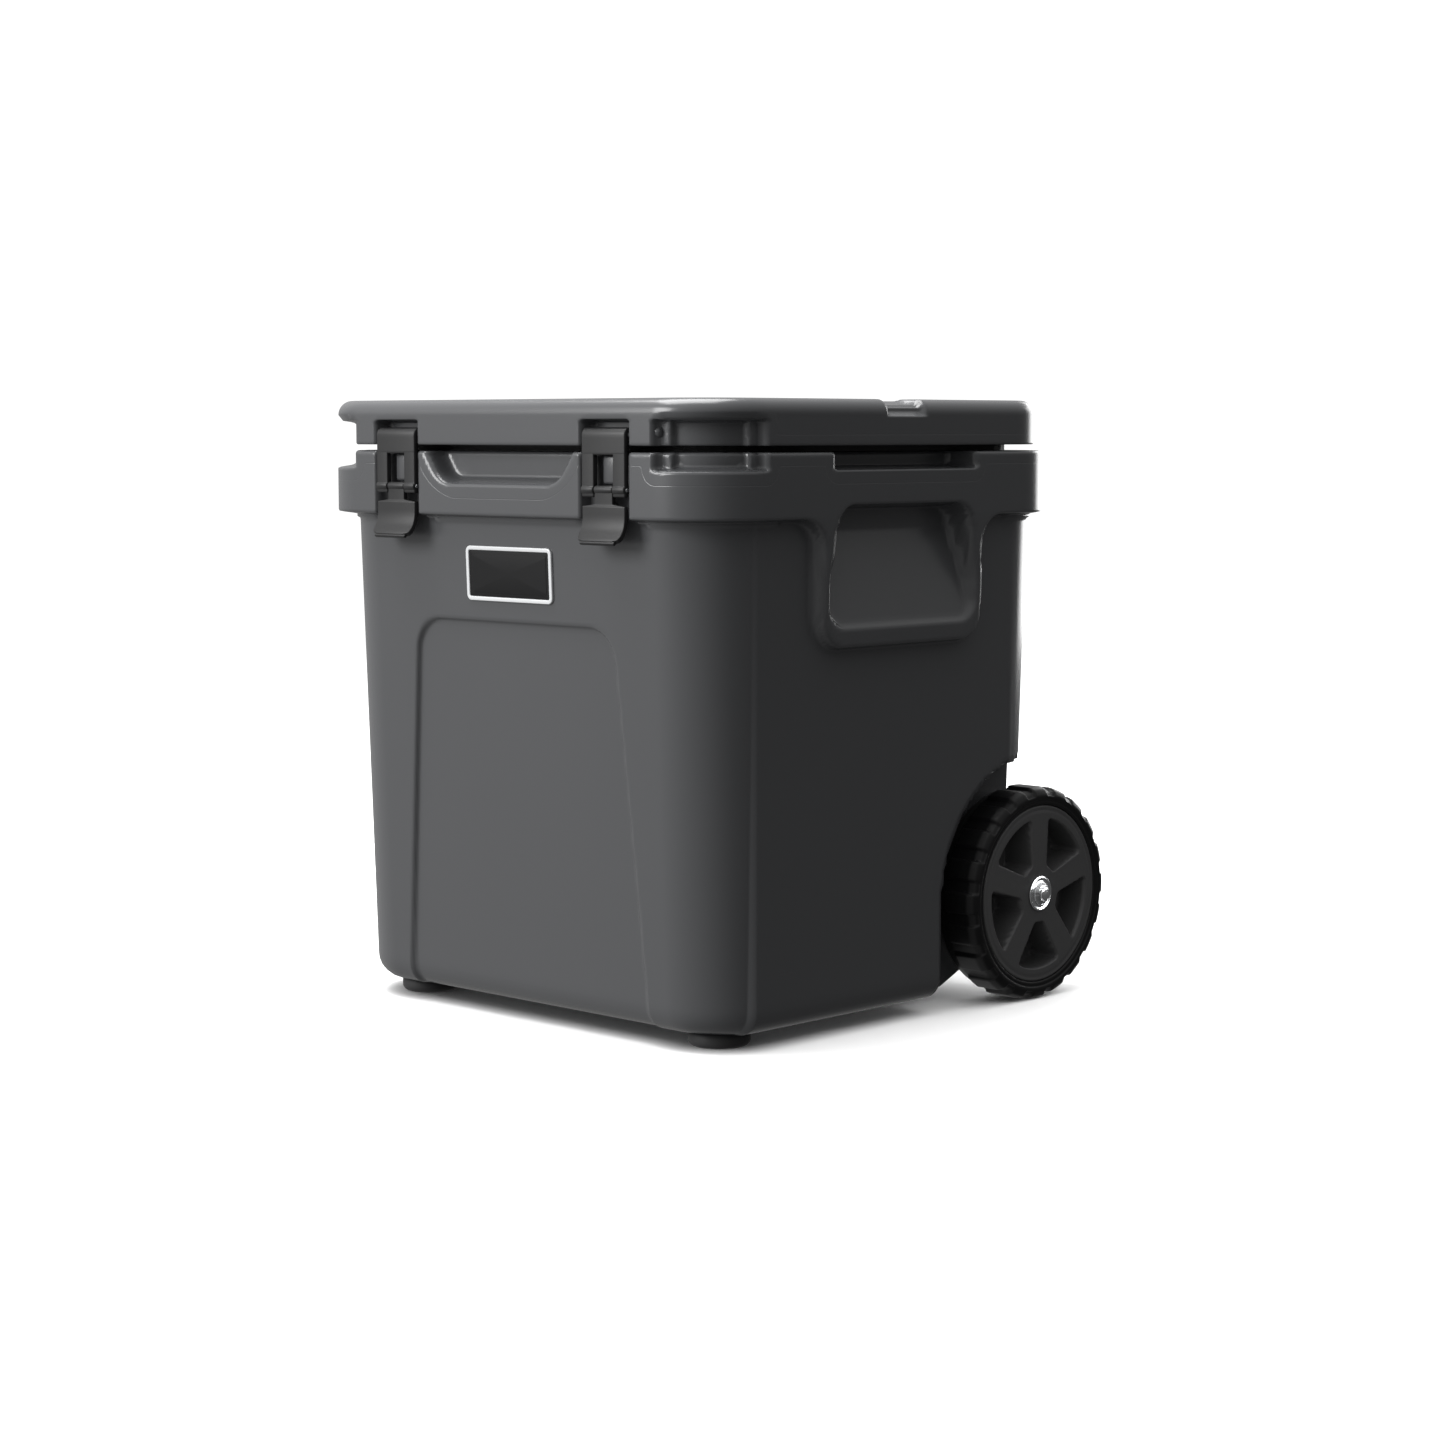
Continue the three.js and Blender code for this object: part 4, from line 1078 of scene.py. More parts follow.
@dataclass(frozen=True)
class Finish:
    """A surface: colour, gloss and grain.

    Attributes:
        name: Material name.
        colour: Linear base colour.
        roughness: Mean roughness.
        metallic: 1 for bare metal.
        grain: Blots per metre of the fine moulded or drawn grain.
        grain_height: Bump height of the grain in metres.
        stretch: Squeeze of the grain along X, depth and height.
        patch: Share by which the colour wanders.
        smudge: How much the roughness wanders.
        seam: Whether the mould's parting line is drawn from the seam attribute.
        specular: Strength of the mirrored light, 0.5 for a plain plastic.
    """

    name: str
    colour: tuple[float, float, float]
    roughness: float
    metallic: float = 0.0
    grain: float = 900.0
    grain_height: float = 0.00002
    stretch: tuple[float, float, float] = (1, 1, 1)
    patch: float = 0.08
    smudge: float = 0.06
    seam: bool = False
    specular: float = 0.5

    def material(self) -> bpy.types.Material:
        """Builds the node material.

        Returns:
            The material.
        """
        made = bpy.data.materials.new(self.name)
        made.use_nodes = True
        tree = made.node_tree
        tree.nodes.clear()
        bench = Bench(tree)
        place = bench.node("ShaderNodeTexCoord", output="Object")
        fine = bench.noise(place, self.grain, 2.0, self.stretch)
        cloud = bench.noise(place, 7.0, 4.0)
        speck = bench.noise(place, 160.0, 3.0, self.stretch)
        light = tuple(c * (1 + self.patch) for c in self.colour)
        dark = tuple(c * (1 - self.patch) for c in self.colour)
        colour = bench.tint((cloud * 0.7 + speck * 0.3).clamped(), dark, light)
        rough = self.roughness + (cloud - 0.5) * (2 * self.smudge) + (speck - 0.5) * self.smudge
        relief = fine + speck * 0.6
        if self.seam:
            away = bench.node("ShaderNodeAttribute", {"attribute_name": "seam"}, output="Fac").size()
            relief = relief - (1.0 - away / 0.45).clamped() * 7.0
        normal = bench.node(
            "ShaderNodeBump", None, {"Strength": 1.0, "Distance": self.grain_height, "Height": relief}
        )
        shader = bench.node(
            "ShaderNodeBsdfPrincipled",
            None,
            {
                "Base Color": colour,
                "Roughness": rough.clamped(),
                "Metallic": self.metallic,
                "Specular IOR Level": self.specular,
                "Normal": normal,
            },
        )
        bench.node("ShaderNodeOutputMaterial", None, {"Surface": shader})
        return made


class Slot(Enum):
    """Material slots of the record and the finish that each wears."""

    CHARCOAL = "charcoal_plastic", Finish(
        "charcoal_polyethylene", (0.075, 0.0765, 0.080), 0.25,
        grain=1500, grain_height=0.000012, patch=0.02, smudge=0.015, seam=True,
    )
    BLACK = "black_plastic", Finish(
        "black_moulded_plastic", (0.014, 0.014, 0.0145), 0.46,
        specular=0.36, grain=2600, grain_height=0.00003, patch=0.12,
    )
    # Black plastic of the wheel rims with its base colour raised to the charcoal's grey: a painted sheen on
    # the spokes' faces.
    RIM_PAINTED_SHEEN = "black_plastic", Finish(
        "wheel_rim_plastic_painted_sheen", (0.075, 0.075, 0.076), 0.42,
        specular=0.42, grain=2200, grain_height=0.00003, patch=0.06,
    )
    LINER = "liner_plastic", Finish("pale_liner_plastic", (0.4, 0.41, 0.405), 0.38, grain=700, patch=0.03)
    FOAM = "foam", Finish(
        "insulating_foam", (0.72, 0.63, 0.38), 0.9, grain=420, grain_height=0.0003, patch=0.12
    )
    GASKET = "gasket_rubber", Finish("gasket_rubber", (0.018, 0.018, 0.019), 0.62, grain=1300, patch=0.1)
    TYRE = "tyre_rubber", Finish(
        "tyre_rubber", (0.006, 0.006, 0.0064), 0.4,
        specular=0.26, grain=1700, grain_height=0.00004, patch=0.15,
    )
    STEEL = "steel", Finish(
        "turned_steel", (0.62, 0.63, 0.64), 0.24, metallic=1, grain=1400, stretch=(6, 1, 1), patch=0.05
    )
    BEARING = "bearing_steel", Finish(
        "polished_bearing_steel", (0.78, 0.79, 0.8), 0.14,
        metallic=1, grain=900, grain_height=0.000006, patch=0.03, smudge=0.03,
    )
    TUBE = "tube_aluminium", Finish(
        "drawn_aluminium", (0.46, 0.47, 0.48), 0.32,
        metallic=1, grain=1200, stretch=(1, 1, 0.04), patch=0.05,
    )
    SILVER = "badge_silver", Finish(
        "satin_silver_badge", (0.72, 0.73, 0.74), 0.34,
        metallic=0.15, grain=1500, grain_height=0.000008, patch=0.03,
    )
    FIELD = "badge_black", Finish(
        "black_badge_field", (0.004, 0.004, 0.0045), 0.5, specular=0.2, grain=1900, patch=0.1
    )


@dataclass
class Wardrobe:
    """Materials by slot, each made once."""

    made: dict[Slot, bpy.types.Material] = field(default_factory=dict)

    def of(self, slot: Slot) -> bpy.types.Material:
        """Material for a slot.

        Args:
            slot: Slot and finish.

        Returns:
            Its material, the same one each time.
        """
        if slot not in self.made:
            self.made[slot] = slot.value[1].material()
        return self.made[slot]

    def add(self, surface: Surface, name: str, body: str, slot: Slot, *replaces: str) -> bpy.types.Object:
        """Makes a piece from a surface in a slot's finish.

        Args:
            surface: The surface.
            name: Piece name.
            body: Body that it rides on.
            slot: Slot and finish.
            *replaces: CAD nodes that it stands for.

        Returns:
            The piece.
        """
        return surface.piece(name, body, slot.value[0], self.of(slot), replaces)

    def dress(self, nodes: dict[str, bpy.types.Object], names: list[str], slot: Slot) -> None:
        """Gives CAD nodes that stay as they are a slot's finish.

        Args:
            nodes: The frame's nodes by name.
            names: Names of the nodes to dress.
            slot: Slot and finish.
        """
        for name in names:
            nodes[name].data.materials.clear()
            nodes[name].data.materials.append(self.of(slot))
            LOG.info("%s keeps its frame shape in %s", name, slot.value[1].name)


# ---------------------------------------------------------------- small sub-assemblies
@dataclass
class Latches:
    """Two rubber-like strap latches: folded strap, cross pin and pull lever with a flared tab."""

    x: float = 124.3
    half: float = 24.1
    window: float = 10.6
    window_top: float = 471
    plate: float = 4.8
    middle: float = 1.4
    edge: float = 1.1
    pin: tuple[float, float] = (5, 482.5)
    cross: tuple[float, float] = (1.5, 440)

    def strap(self, x: float) -> Surface:
        """Strap: top plate curled over its pin, with one leg down each side of the window.

        Args:
            x: Middle of the latch.

        Returns:
            The strap's surface.
        """
        z = np.linspace(self.window_top - 4, self.pin[1], 8)
        upright = np.stack([np.full(8, self.middle), z], 1)
        turn = np.linspace(math.pi, -0.35 * math.pi, 16)[1:]
        r = self.pin[0] - self.middle
        curl = np.stack([self.pin[0] + r * np.cos(turn), self.pin[1] + r * np.sin(turn)], 1)
        path = np.concatenate([upright, curl])
        ends = np.full(len(path), x - self.half), np.full(len(path), x + self.half)
        made = Surface().patch(ribbon(path, *ends, self.plate, self.edge))
        z = np.concatenate([np.linspace(434.4, 466, 10), np.linspace(467, 473.5, 9)])
        down = np.stack([np.full(len(z), self.middle), z], 1)
        round_in = 3.0 - np.sqrt(np.maximum(9.0 - np.clip(z - (self.window_top - 3), 0, 3) ** 2, 0))
        inner = self.window - round_in - np.where(z > self.window_top + 0.2, 2.0, 0)
        outer = np.full(len(z), self.half - 0.02)
        made.patch(ribbon(down, x + inner, x + outer, self.plate - 0.02, self.edge))
        made.patch(ribbon(down, x - outer, x - inner, self.plate - 0.02, self.edge))
        for side in (-1, 1):
            lo, hi = sorted((x + side * self.window, x + side * self.half))
            made.patch(rod(3.9, lo, hi, (0, self.cross[0], self.cross[1]), 0, 1.1, 40))
        return made

    def lever(self, x: float) -> Surface:
        """Lever: neck between the legs, shoulders, and a tab that bends out at its foot.

        Args:
            x: Middle of the latch.

        Returns:
            The lever's surface.
        """
        corners = [(self.middle, 440.0), (self.middle, 411.0), (-6.6, 399.2)]
        path = filleted(corners, 9.0, 10, closed=False)
        upright, foot = np.linspace(path[0], path[1], 26), np.linspace(path[-2], path[-1], 12)
        along = np.concatenate([upright[:-1], path[1:-1], foot[1:]])
        step = np.concatenate([[0], np.cumsum(np.linalg.norm(np.diff(along, axis=0), axis=1))])
        left = step[-1] - step
        wide = self.half - 0.35
        neck = self.window - 0.5
        width = neck + (wide - neck) * ease((428.6 - along[:, 1]) / 1.3)
        tab_corner = 6.0
        short = np.clip(tab_corner - left, 0, tab_corner)
        width = width - (tab_corner - np.sqrt(np.maximum(tab_corner**2 - short**2, 0)))
        made = Surface().patch(ribbon(along, x - width, x + width, 4.2, 0.8))
        made.patch(rod(3.3, x - neck, x + neck, (0, *self.cross), 0, 0.8, 40))
        lip = filleted([(-4.2, 401.6), (-7.9, 397.9)], 1, 3, closed=False)
        ends = np.full(8, x - wide + 4.5), np.full(8, x + wide - 4.5)
        made.patch(ribbon(np.linspace(lip[0], lip[-1], 8), *ends, 3.0, 0.8))
        return made

    def build(self, wear: Wardrobe) -> None:
        """Makes both latches with their pins.

        Args:
            wear: The wardrobe that dresses and adds pieces.
        """
        for name, side in SIDES:
            x = side * self.x
            wear.add(self.strap(x), f"strap_{name}", f"strap_{name}", Slot.BLACK, f"latch_strap_{name}")
            wear.add(self.lever(x), f"lever_{name}", f"lever_{name}", Slot.BLACK, f"latch_lever_{name}")
            pin = Surface().patch(rod(2.5, x - 31.3, x + 31.3, (0, *self.pin), 0, 0.5))
            lo, hi = sorted((side * 173.0, side * 180.4))
            pin.patch(rod(4.4, lo, hi, (0, 8.0, 484.6), 0, 3.4, 40))
            wear.add(pin, f"strap_pin_{name}", "lid", Slot.CHARCOAL, f"latch_strap_pin_{name}")
            cross = Surface().patch(
                rod(1.6, x - self.half + 1, x + self.half + 0.6, (0, *self.cross), 0, 0.3)
            )
            wear.add(cross, f"cross_pin_{name}", f"strap_{name}", Slot.STEEL, f"latch_cross_pin_{name}")


@dataclass
class Wheels:
    """Two wheels with blocked treads and five-spoke rims on a one-piece axle."""

    depth: float = 404.6
    height: float = 91.5
    inner: float = 193
    outer: float = 242
    rim: float = 75.5
    face: float = 239.5
    groove: float = 2.7
    blocks: int = 20
    spokes: int = 5

    def tyre(self, side: int) -> Array:
        """Tyre: closed profile carried round, lowered between tread blocks by eased steps in angle and width.

        Args:
            side: -1 for the left wheel, 1 for the right.

        Returns:
            A grid for `Surface.patch` whose rows join up.
        """
        w0, w1, r1, r0 = self.inner, self.outer, self.height, self.rim + 0.3
        corners = [
            (r0, w0 + 4),
            (r0 + 4, w0),
            (r1 - 12, w0),
            (r1 - 3, w0 + 5),
            (r1, w0 + 15),
            (r1, w1 - 9),
            (r1 - 2.2, w1 - 3.2),
            (r1 - 7, w1 - 0.6),
            (r1 - 10.5, w1 - 0.9),
            (r1 - 11.2, w1 - 2.0),
            (r0 + 1.5, w1 - 1.6),
            (r0, w1 - 3),
        ]
        shape = filleted(corners, 1.6, 4)
        dense = []
        for a, b in zip(shape, np.roll(shape, -1, 0)):
            n = max(1, int(np.linalg.norm(b - a) / (1.1 if min(a[0], b[0]) > r1 - 9 else 4)))
            dense.append(a + (b - a) * (np.arange(n) / n)[:, None])
        shape = np.concatenate(dense)
        pitch = 2 * math.pi / self.blocks
        t = np.linspace(-0.5, 0.5, 20, endpoint=False)
        t = t - 0.55 * (np.abs(t) - 0.31) * np.sign(t) * np.exp(-(((np.abs(t) - 0.31) / 0.1) ** 2))
        angle = (np.arange(self.blocks)[:, None] * pitch + t[None] * pitch).reshape(-1)[None]
        radius, place = shape[:, :1], shape[:, 1:]
        wave = np.abs(((angle / pitch + 0.5) % 1.0) - 0.5)
        block_mask = ease((0.335 - wave) / 0.05) * ease((place - (w0 + 16)) / 1.6)
        tread = ease((radius - (r1 - 8.5)) / 4.5)
        r = radius - self.groove * tread * (1 - block_mask)
        grid = np.zeros((len(shape), angle.shape[1], 3))
        grid[..., 0] = side * (place + 0 * angle)
        grid[..., 1] = self.depth + r * np.cos(angle)
        grid[..., 2] = self.height + r * np.sin(angle)
        return grid

    def wheel(self, side: int) -> Array:
        """Rim: polar face sunk between the spokes, then the barrel and the back, joined into a ring.

        Args:
            side: -1 for the left wheel, 1 for the right.

        Returns:
            A grid for `Surface.patch` whose rows join up.
        """
        face, web, bore, hub = self.face, self.inner + 17, 11.3, 24.5
        radii = spaced([(bore + 0.6, 1.6), (22, 0.9), (30, 1.8), (58, 0.9), (67, 1.4), (self.rim - 0.6, 1)])
        count = 300
        angle = np.linspace(0, 2 * math.pi, count, endpoint=False)[None]
        r = radii[:, None]

        def window(radius: Array, theta: Array) -> Array:
            """Distance inside a window between two spokes, corners rounded.

            Args:
                radius: Radii of the points.
                theta: Angles of the points.

            Returns:
                The distances, negative on the spokes.
            """
            turn = 2 * math.pi / self.spokes
            near = (theta - math.pi / 2 + turn / 2) % turn - turn / 2
            along, off = radius * np.cos(near), np.abs(radius * np.sin(near))
            return meet(meet(off - (8.6 + (along - 15) * 0.062), radius - hub, 3.5), 65.2 - radius, 4.5)

        step = 1e-3
        theta = angle + 0 * r
        for _ in range(2):
            d = window(r, theta)
            slope = (window(r, theta + step) - d) / step / r
            rise = (window(r + step, theta) - d) / step
            off = d - 0.9
            pull = 0.34 * off * np.exp(-((off / 4.0) ** 2)) / np.maximum(slope**2 + rise**2, 0.25)
            theta = theta - slope * pull / r
            r = r - rise * pull
        r[0], r[-1] = radii[0], radii[-1]
        d = window(r, theta)
        x = face - (face - web) * ease(d / 1.8) - 0.7 * ease((r - 70.5) / 0.7) * ease((73 - r) / 0.7)
        front = np.stack([x, r * np.cos(theta), r * np.sin(theta)], -1)
        back = filleted(
            [
                (self.rim, face - 0.6),
                (self.rim, web - 12),
                (self.rim - 3, web - 12),
                (self.rim - 4, web - 3),
                (24, web - 4),
                (19, self.inner + 3),
                (bore, self.inner + 3),
                (bore, face - 0.6),
            ],
            0.8, 3, closed=False,
        )
        radius = back[:, :1]
        rest = np.stack([back[:, 1:] + 0 * angle, radius * np.cos(angle), radius * np.sin(angle)], -1)
        grid = np.concatenate([front, rest])
        grid[..., 0] *= side
        grid[..., 1] += self.depth
        grid[..., 2] += self.height
        return grid

    def build(self, wear: Wardrobe) -> None:
        """Makes wheels, bearings, push nuts, bushes and axle.

        Args:
            wear: The wardrobe that dresses and adds pieces.
        """

        def teeth(angle: Array, row: Array) -> Array:
            """Eight notches in the outer rows of a push nut."""
            return -0.35 * ease((np.cos(angle * 8) - 0.5) * 4) * (row > 2)

        centre = (0.0, self.depth, self.height)
        face = self.face
        for name, side in SIDES:
            tyre = Surface().patch(self.tyre(side), wrap_rows=True)
            wear.add(tyre, f"tyre_{name}", f"wheel_{name}", Slot.TYRE, f"wheel_tyre_{name}")
            rim = Surface().patch(self.wheel(side), wrap_rows=True)
            # The rim wears black plastic lightened to grey by a painted sheen.
            wear.add(rim, f"rim_{name}", f"wheel_{name}", Slot.RIM_PAINTED_SHEEN, f"wheel_rim_{name}")
            profile = [
                (6.4, 196),
                (11, 196),
                (11, face + 0.4),
                (15, face + 0.4),
                (15, face + 1.5),
                (13.4, face + 1.9),
                (12.4, face + 1.0),
                (10.6, face + 1.0),
                (9.8, face + 1.7),
                (6.4, face + 1.7),
            ]
            shape = filleted(profile, 0.35, 3)
            shape[:, 1] *= side
            bearing = Surface().patch(turned(shape, centre, 0, 64), wrap_rows=True)
            wear.add(bearing, f"bearing_{name}", f"wheel_{name}", Slot.BEARING, f"wheel_bearing_{name}")
            cap = filleted(
                [(6.3, face + 2), (10, face + 2), (9.6, face + 2.8), (7.6, face + 4.2), (6.3, face + 5)],
                0.3,
                3,
            )
            cap[:, 1] *= side
            nut = Surface().patch(turned(cap, centre, 0, 96, teeth), wrap_rows=True)
            wear.add(nut, f"push_nut_{name}", "cooler", Slot.STEEL, f"wheel_push_nut_{name}")
            flange = filleted(
                [(6.3, 167), (9, 167), (9, 187.3), (14, 187.3), (14, 189.4), (12.6, 190), (6.3, 190)], 0.5, 3
            )
            flange[:, 1] *= side
            bush = Surface().patch(turned(flange, centre, 0), wrap_rows=True)
            wear.add(bush, f"bush_{name}", "cooler", Slot.BLACK, f"axle_bush_{name}")
        axle = Surface().patch(rod(6, -246.5, 246.5, centre, 0, 1.1, 48))
        wear.add(axle, "axle_bar", "cooler", Slot.BEARING, "axle")


@dataclass
class Badge:
    """Plain framed badge, its frame and field laid on the leaning front face."""

    half: float = 51.1
    low: float = 347.5
    high: float = 392.2
    face_level: float = 400
    face_depth: float = 12.6
    lean: float = 0.0395
    border: float = 3.4

    def leaned(self, grid: Array) -> Array:
        """Moves depth measured from the face on to the face: depth + 12.6 + 0.0395 (400 - height).

        Args:
            grid: Points whose depth counts from the face.

        Returns:
            The moved points.
        """
        out = grid.copy()
        out[..., 1] += self.face_depth + self.lean * (self.face_level - grid[..., 2])
        return out

    def frame(self) -> Array:
        """Border: an eased section carried round the rounded rectangle.

        Returns:
            A grid for `Surface.patch` whose rows join up.
        """
        turn = np.linspace(0, math.pi / 2, 8)
        angle = np.concatenate([turn + k * math.pi / 2 for k in range(4)])
        sx, sz = np.repeat([1, -1, -1, 1], 8), np.repeat([1, 1, -1, -1], 8)
        section = filleted([(0.0, 0.3), (0.0, -1.9), (-self.border, -1.9), (-self.border, 0.3)], 0.7, 4)
        corner = 5.0
        mid = (self.low + self.high) / 2
        rise = (self.high - self.low) / 2
        grid = np.zeros((len(section), len(angle), 3))
        reach = np.maximum(corner + section[:, :1], 1.4)
        pull = corner + section[:, :1] - reach
        grid[..., 0] = sx * (self.half - corner + pull) + np.cos(angle) * reach
        grid[..., 2] = mid + sz * (rise - corner + pull) + np.sin(angle) * reach
        grid[..., 1] = section[:, 1:2]
        return self.leaned(grid)

    def build(self, wear: Wardrobe) -> None:
        """Makes the frame and the plain field with one thin raised rule inside it.

        Args:
            wear: The wardrobe that dresses and adds pieces.
        """
        wear.add(
            Surface().patch(self.frame(), wrap_rows=True),
            "badge_border",
            "cooler",
            Slot.SILVER,
            "badge_frame",
        )
        b = self.border + 0.2
        field_block = block(
            (-self.half + b, -1.3, self.low + b), (self.half - b, 0.2, self.high - b), 2, 0.3, 1
        )
        rule = block(
            (-self.half + b + 3, -1.5, self.low + b + 3),
            (self.half - b - 3, -0.6, self.high - b - 3),
            2,
            0.2,
            1,
        )
        made = Surface().patch(self.leaned(field_block)).patch(self.leaned(rule))
        wear.add(made, "badge_field", "cooler", Slot.FIELD, "badge_insert")


@dataclass
class Fittings:
    """Feet and hinges."""

    foot: tuple[float, float] = (174.8, 76.6)
    hinge: tuple[float, float] = (436.0, 472.5)
    hinge_x: float = 128
    hinge_half: float = 34

    def build(self, wear: Wardrobe) -> None:
        """Makes both feet and both hinges.

        Args:
            wear: The wardrobe that dresses and adds pieces.
        """
        for name, side in SIDES:
            profile = filleted(
                [(3, 14), (3, 2.2), (6, 0), (22.5, 0), (25, 2.8), (25, 14)], 1.8, 5, closed=False
            )
            pad = Surface().patch(turned(profile, (side * self.foot[0], self.foot[1], 0), 2, 64))
            wear.add(pad, f"foot_{name}", "cooler", Slot.GASKET, f"front_foot_{name}")
            self.hinge_pair(wear, name, side)

    def hinge_pair(self, wear: Wardrobe, name: str, side: int) -> None:
        """Hinge of three knuckles, two leaves with countersunk screws, and a pin.

        Args:
            wear: The wardrobe that dresses and adds pieces.
            name: "left" or "right".
            side: -1 for the left, 1 for the right.
        """
        depth, height = self.hinge
        x0, x1 = side * self.hinge_x - self.hinge_half, side * self.hinge_x + self.hinge_half
        third = (x1 - x0) / 3
        at = (0.0, depth, height)
        body = Surface().patch(block((x0, 436.8, 441.2), (x1, 439.8, 465.2), 2.5, 1.0, 1))
        lid = Surface().patch(block((x0, 428, 479.4), (x1, 431, 498.2), 2.5, 1.0, 1))
        for start in (x0 + 0.3, x0 + 2 * third + 0.3):
            body.patch(ring(5.5, 2.7, start, start + third - 0.6, at, 0, 0.6), wrap_rows=True)
            body.patch(block((start, 436.8, 463.2), (start + third - 0.6, 439.8, 471.5), 1.4, 0.6, 2))
        lid.patch(ring(5.5, 2.7, x0 + third + 0.3, x0 + 2 * third - 0.3, at, 0, 0.6), wrap_rows=True)
        lid.patch(block((x0 + third + 0.3, 428, 473), (x0 + 2 * third - 0.3, 435, 481), 1.4, 0.6, 0))
        for x in (x0 + 9, x1 - 9):
            for leaf, back, level in ((body, 439.9, 452), (lid, 431.1, 489)):
                head = filleted([(0.6, back), (3.2, back), (3.6, back - 0.6)], 0.3, 3, False)
                leaf.patch(turned(head, (x, 0, level), 1, 32))
        wear.add(body, f"hinge_lower_{name}", "cooler", Slot.BLACK, f"hinge_body_leaf_{name}")
        wear.add(lid, f"hinge_upper_{name}", "lid", Slot.BLACK, f"hinge_lid_leaf_{name}")
        pin = Surface().patch(rod(2.4, x0 - 0.5, x1 + 0.5, at, 0, 0.5))
        wear.add(pin, f"hinge_rod_{name}", "cooler", Slot.STEEL, f"hinge_pin_{name}")


@dataclass
class Lining:
    """Pale liner of the tub."""

    mouth: RoundRect = RoundRect(183, 50, 382, 34)
    floor: float = 54
    top: float = 469.2
    draft: float = 0.035
    wall: float = 3.5

    @staticmethod
    def hoop(rect: RoundRect, z: Array, inset: Array) -> Array:
        """Rounded rectangle at heights z, each drawn in by its inset; rows run upwards or inwards.

        Args:
            rect: The rounded rectangle.
            z: Height of each row.
            inset: How far each row is drawn in.

        Returns:
            A grid for `Surface.patch`.
        """
        turn = np.linspace(0, math.pi / 2, 14)
        angle = np.concatenate([turn + k * math.pi / 2 for k in range(4)])
        sx, sy = np.repeat([1, -1, -1, 1], 14), np.repeat([1, 1, -1, -1], 14)
        mid, deep = (rect.front + rect.back) / 2, (rect.back - rect.front) / 2
        reach = np.maximum(rect.corner - inset, 3.0)[:, None]
        pull = (rect.corner - inset)[:, None] - reach
        grid = np.zeros((len(z), len(angle), 3))
        grid[..., 0] = sx * (rect.half - rect.corner + pull) + np.cos(angle) * reach
        grid[..., 1] = mid + sy * (deep - rect.corner + pull) + np.sin(angle) * reach
        grid[..., 2] = z[:, None]
        return grid

    def bowl(self, grow: float, floor: float, start: float) -> Array:
        """Rows from the floor's middle out through its curved edge and up the drafted wall.

        Args:
            grow: How far outside the liner's inner face.
            floor: Height of the floor.
            start: Height of the last row.

        Returns:
            A grid of open rows.
        """
        bend = np.linspace(0, math.pi / 2, 8)
        r = 18 + grow / 2
        z = np.concatenate(
            [np.full(4, floor), floor + r * (1 - np.cos(bend)), np.linspace(floor + r + 20, start, 16)]
        )
        inset = np.concatenate([[110, 70, 45, 28], r * (1 - np.sin(bend)), np.zeros(16)])
        inset = inset + self.draft * (self.top - z) - grow
        return self.hoop(self.mouth, z, inset)

    def build(self, wear: Wardrobe) -> None:
        """Makes the liner with its rim flange.

        Args:
            wear: The wardrobe that dresses and adds pieces.
        """
        inner = self.bowl(0, self.floor, self.top - 1.2)
        outer = self.bowl(self.wall, self.floor - self.wall, self.top - 3.2)
        lip = self.hoop(self.mouth, np.array([self.top, self.top]), np.array([-1.2, -15.8]))
        skirt = self.hoop(self.mouth, np.array([self.top - 1, self.top - 2.8]), np.array([-16.8, -16.8]))
        under = self.hoop(self.mouth, np.array([self.top - 3]), np.array([-16.0]))
        made = Surface().patch(np.concatenate([inner, lip, skirt, under, outer[::-1]]))
        wear.add(made, "liner_skin", "cooler", Slot.LINER, "inner_liner")


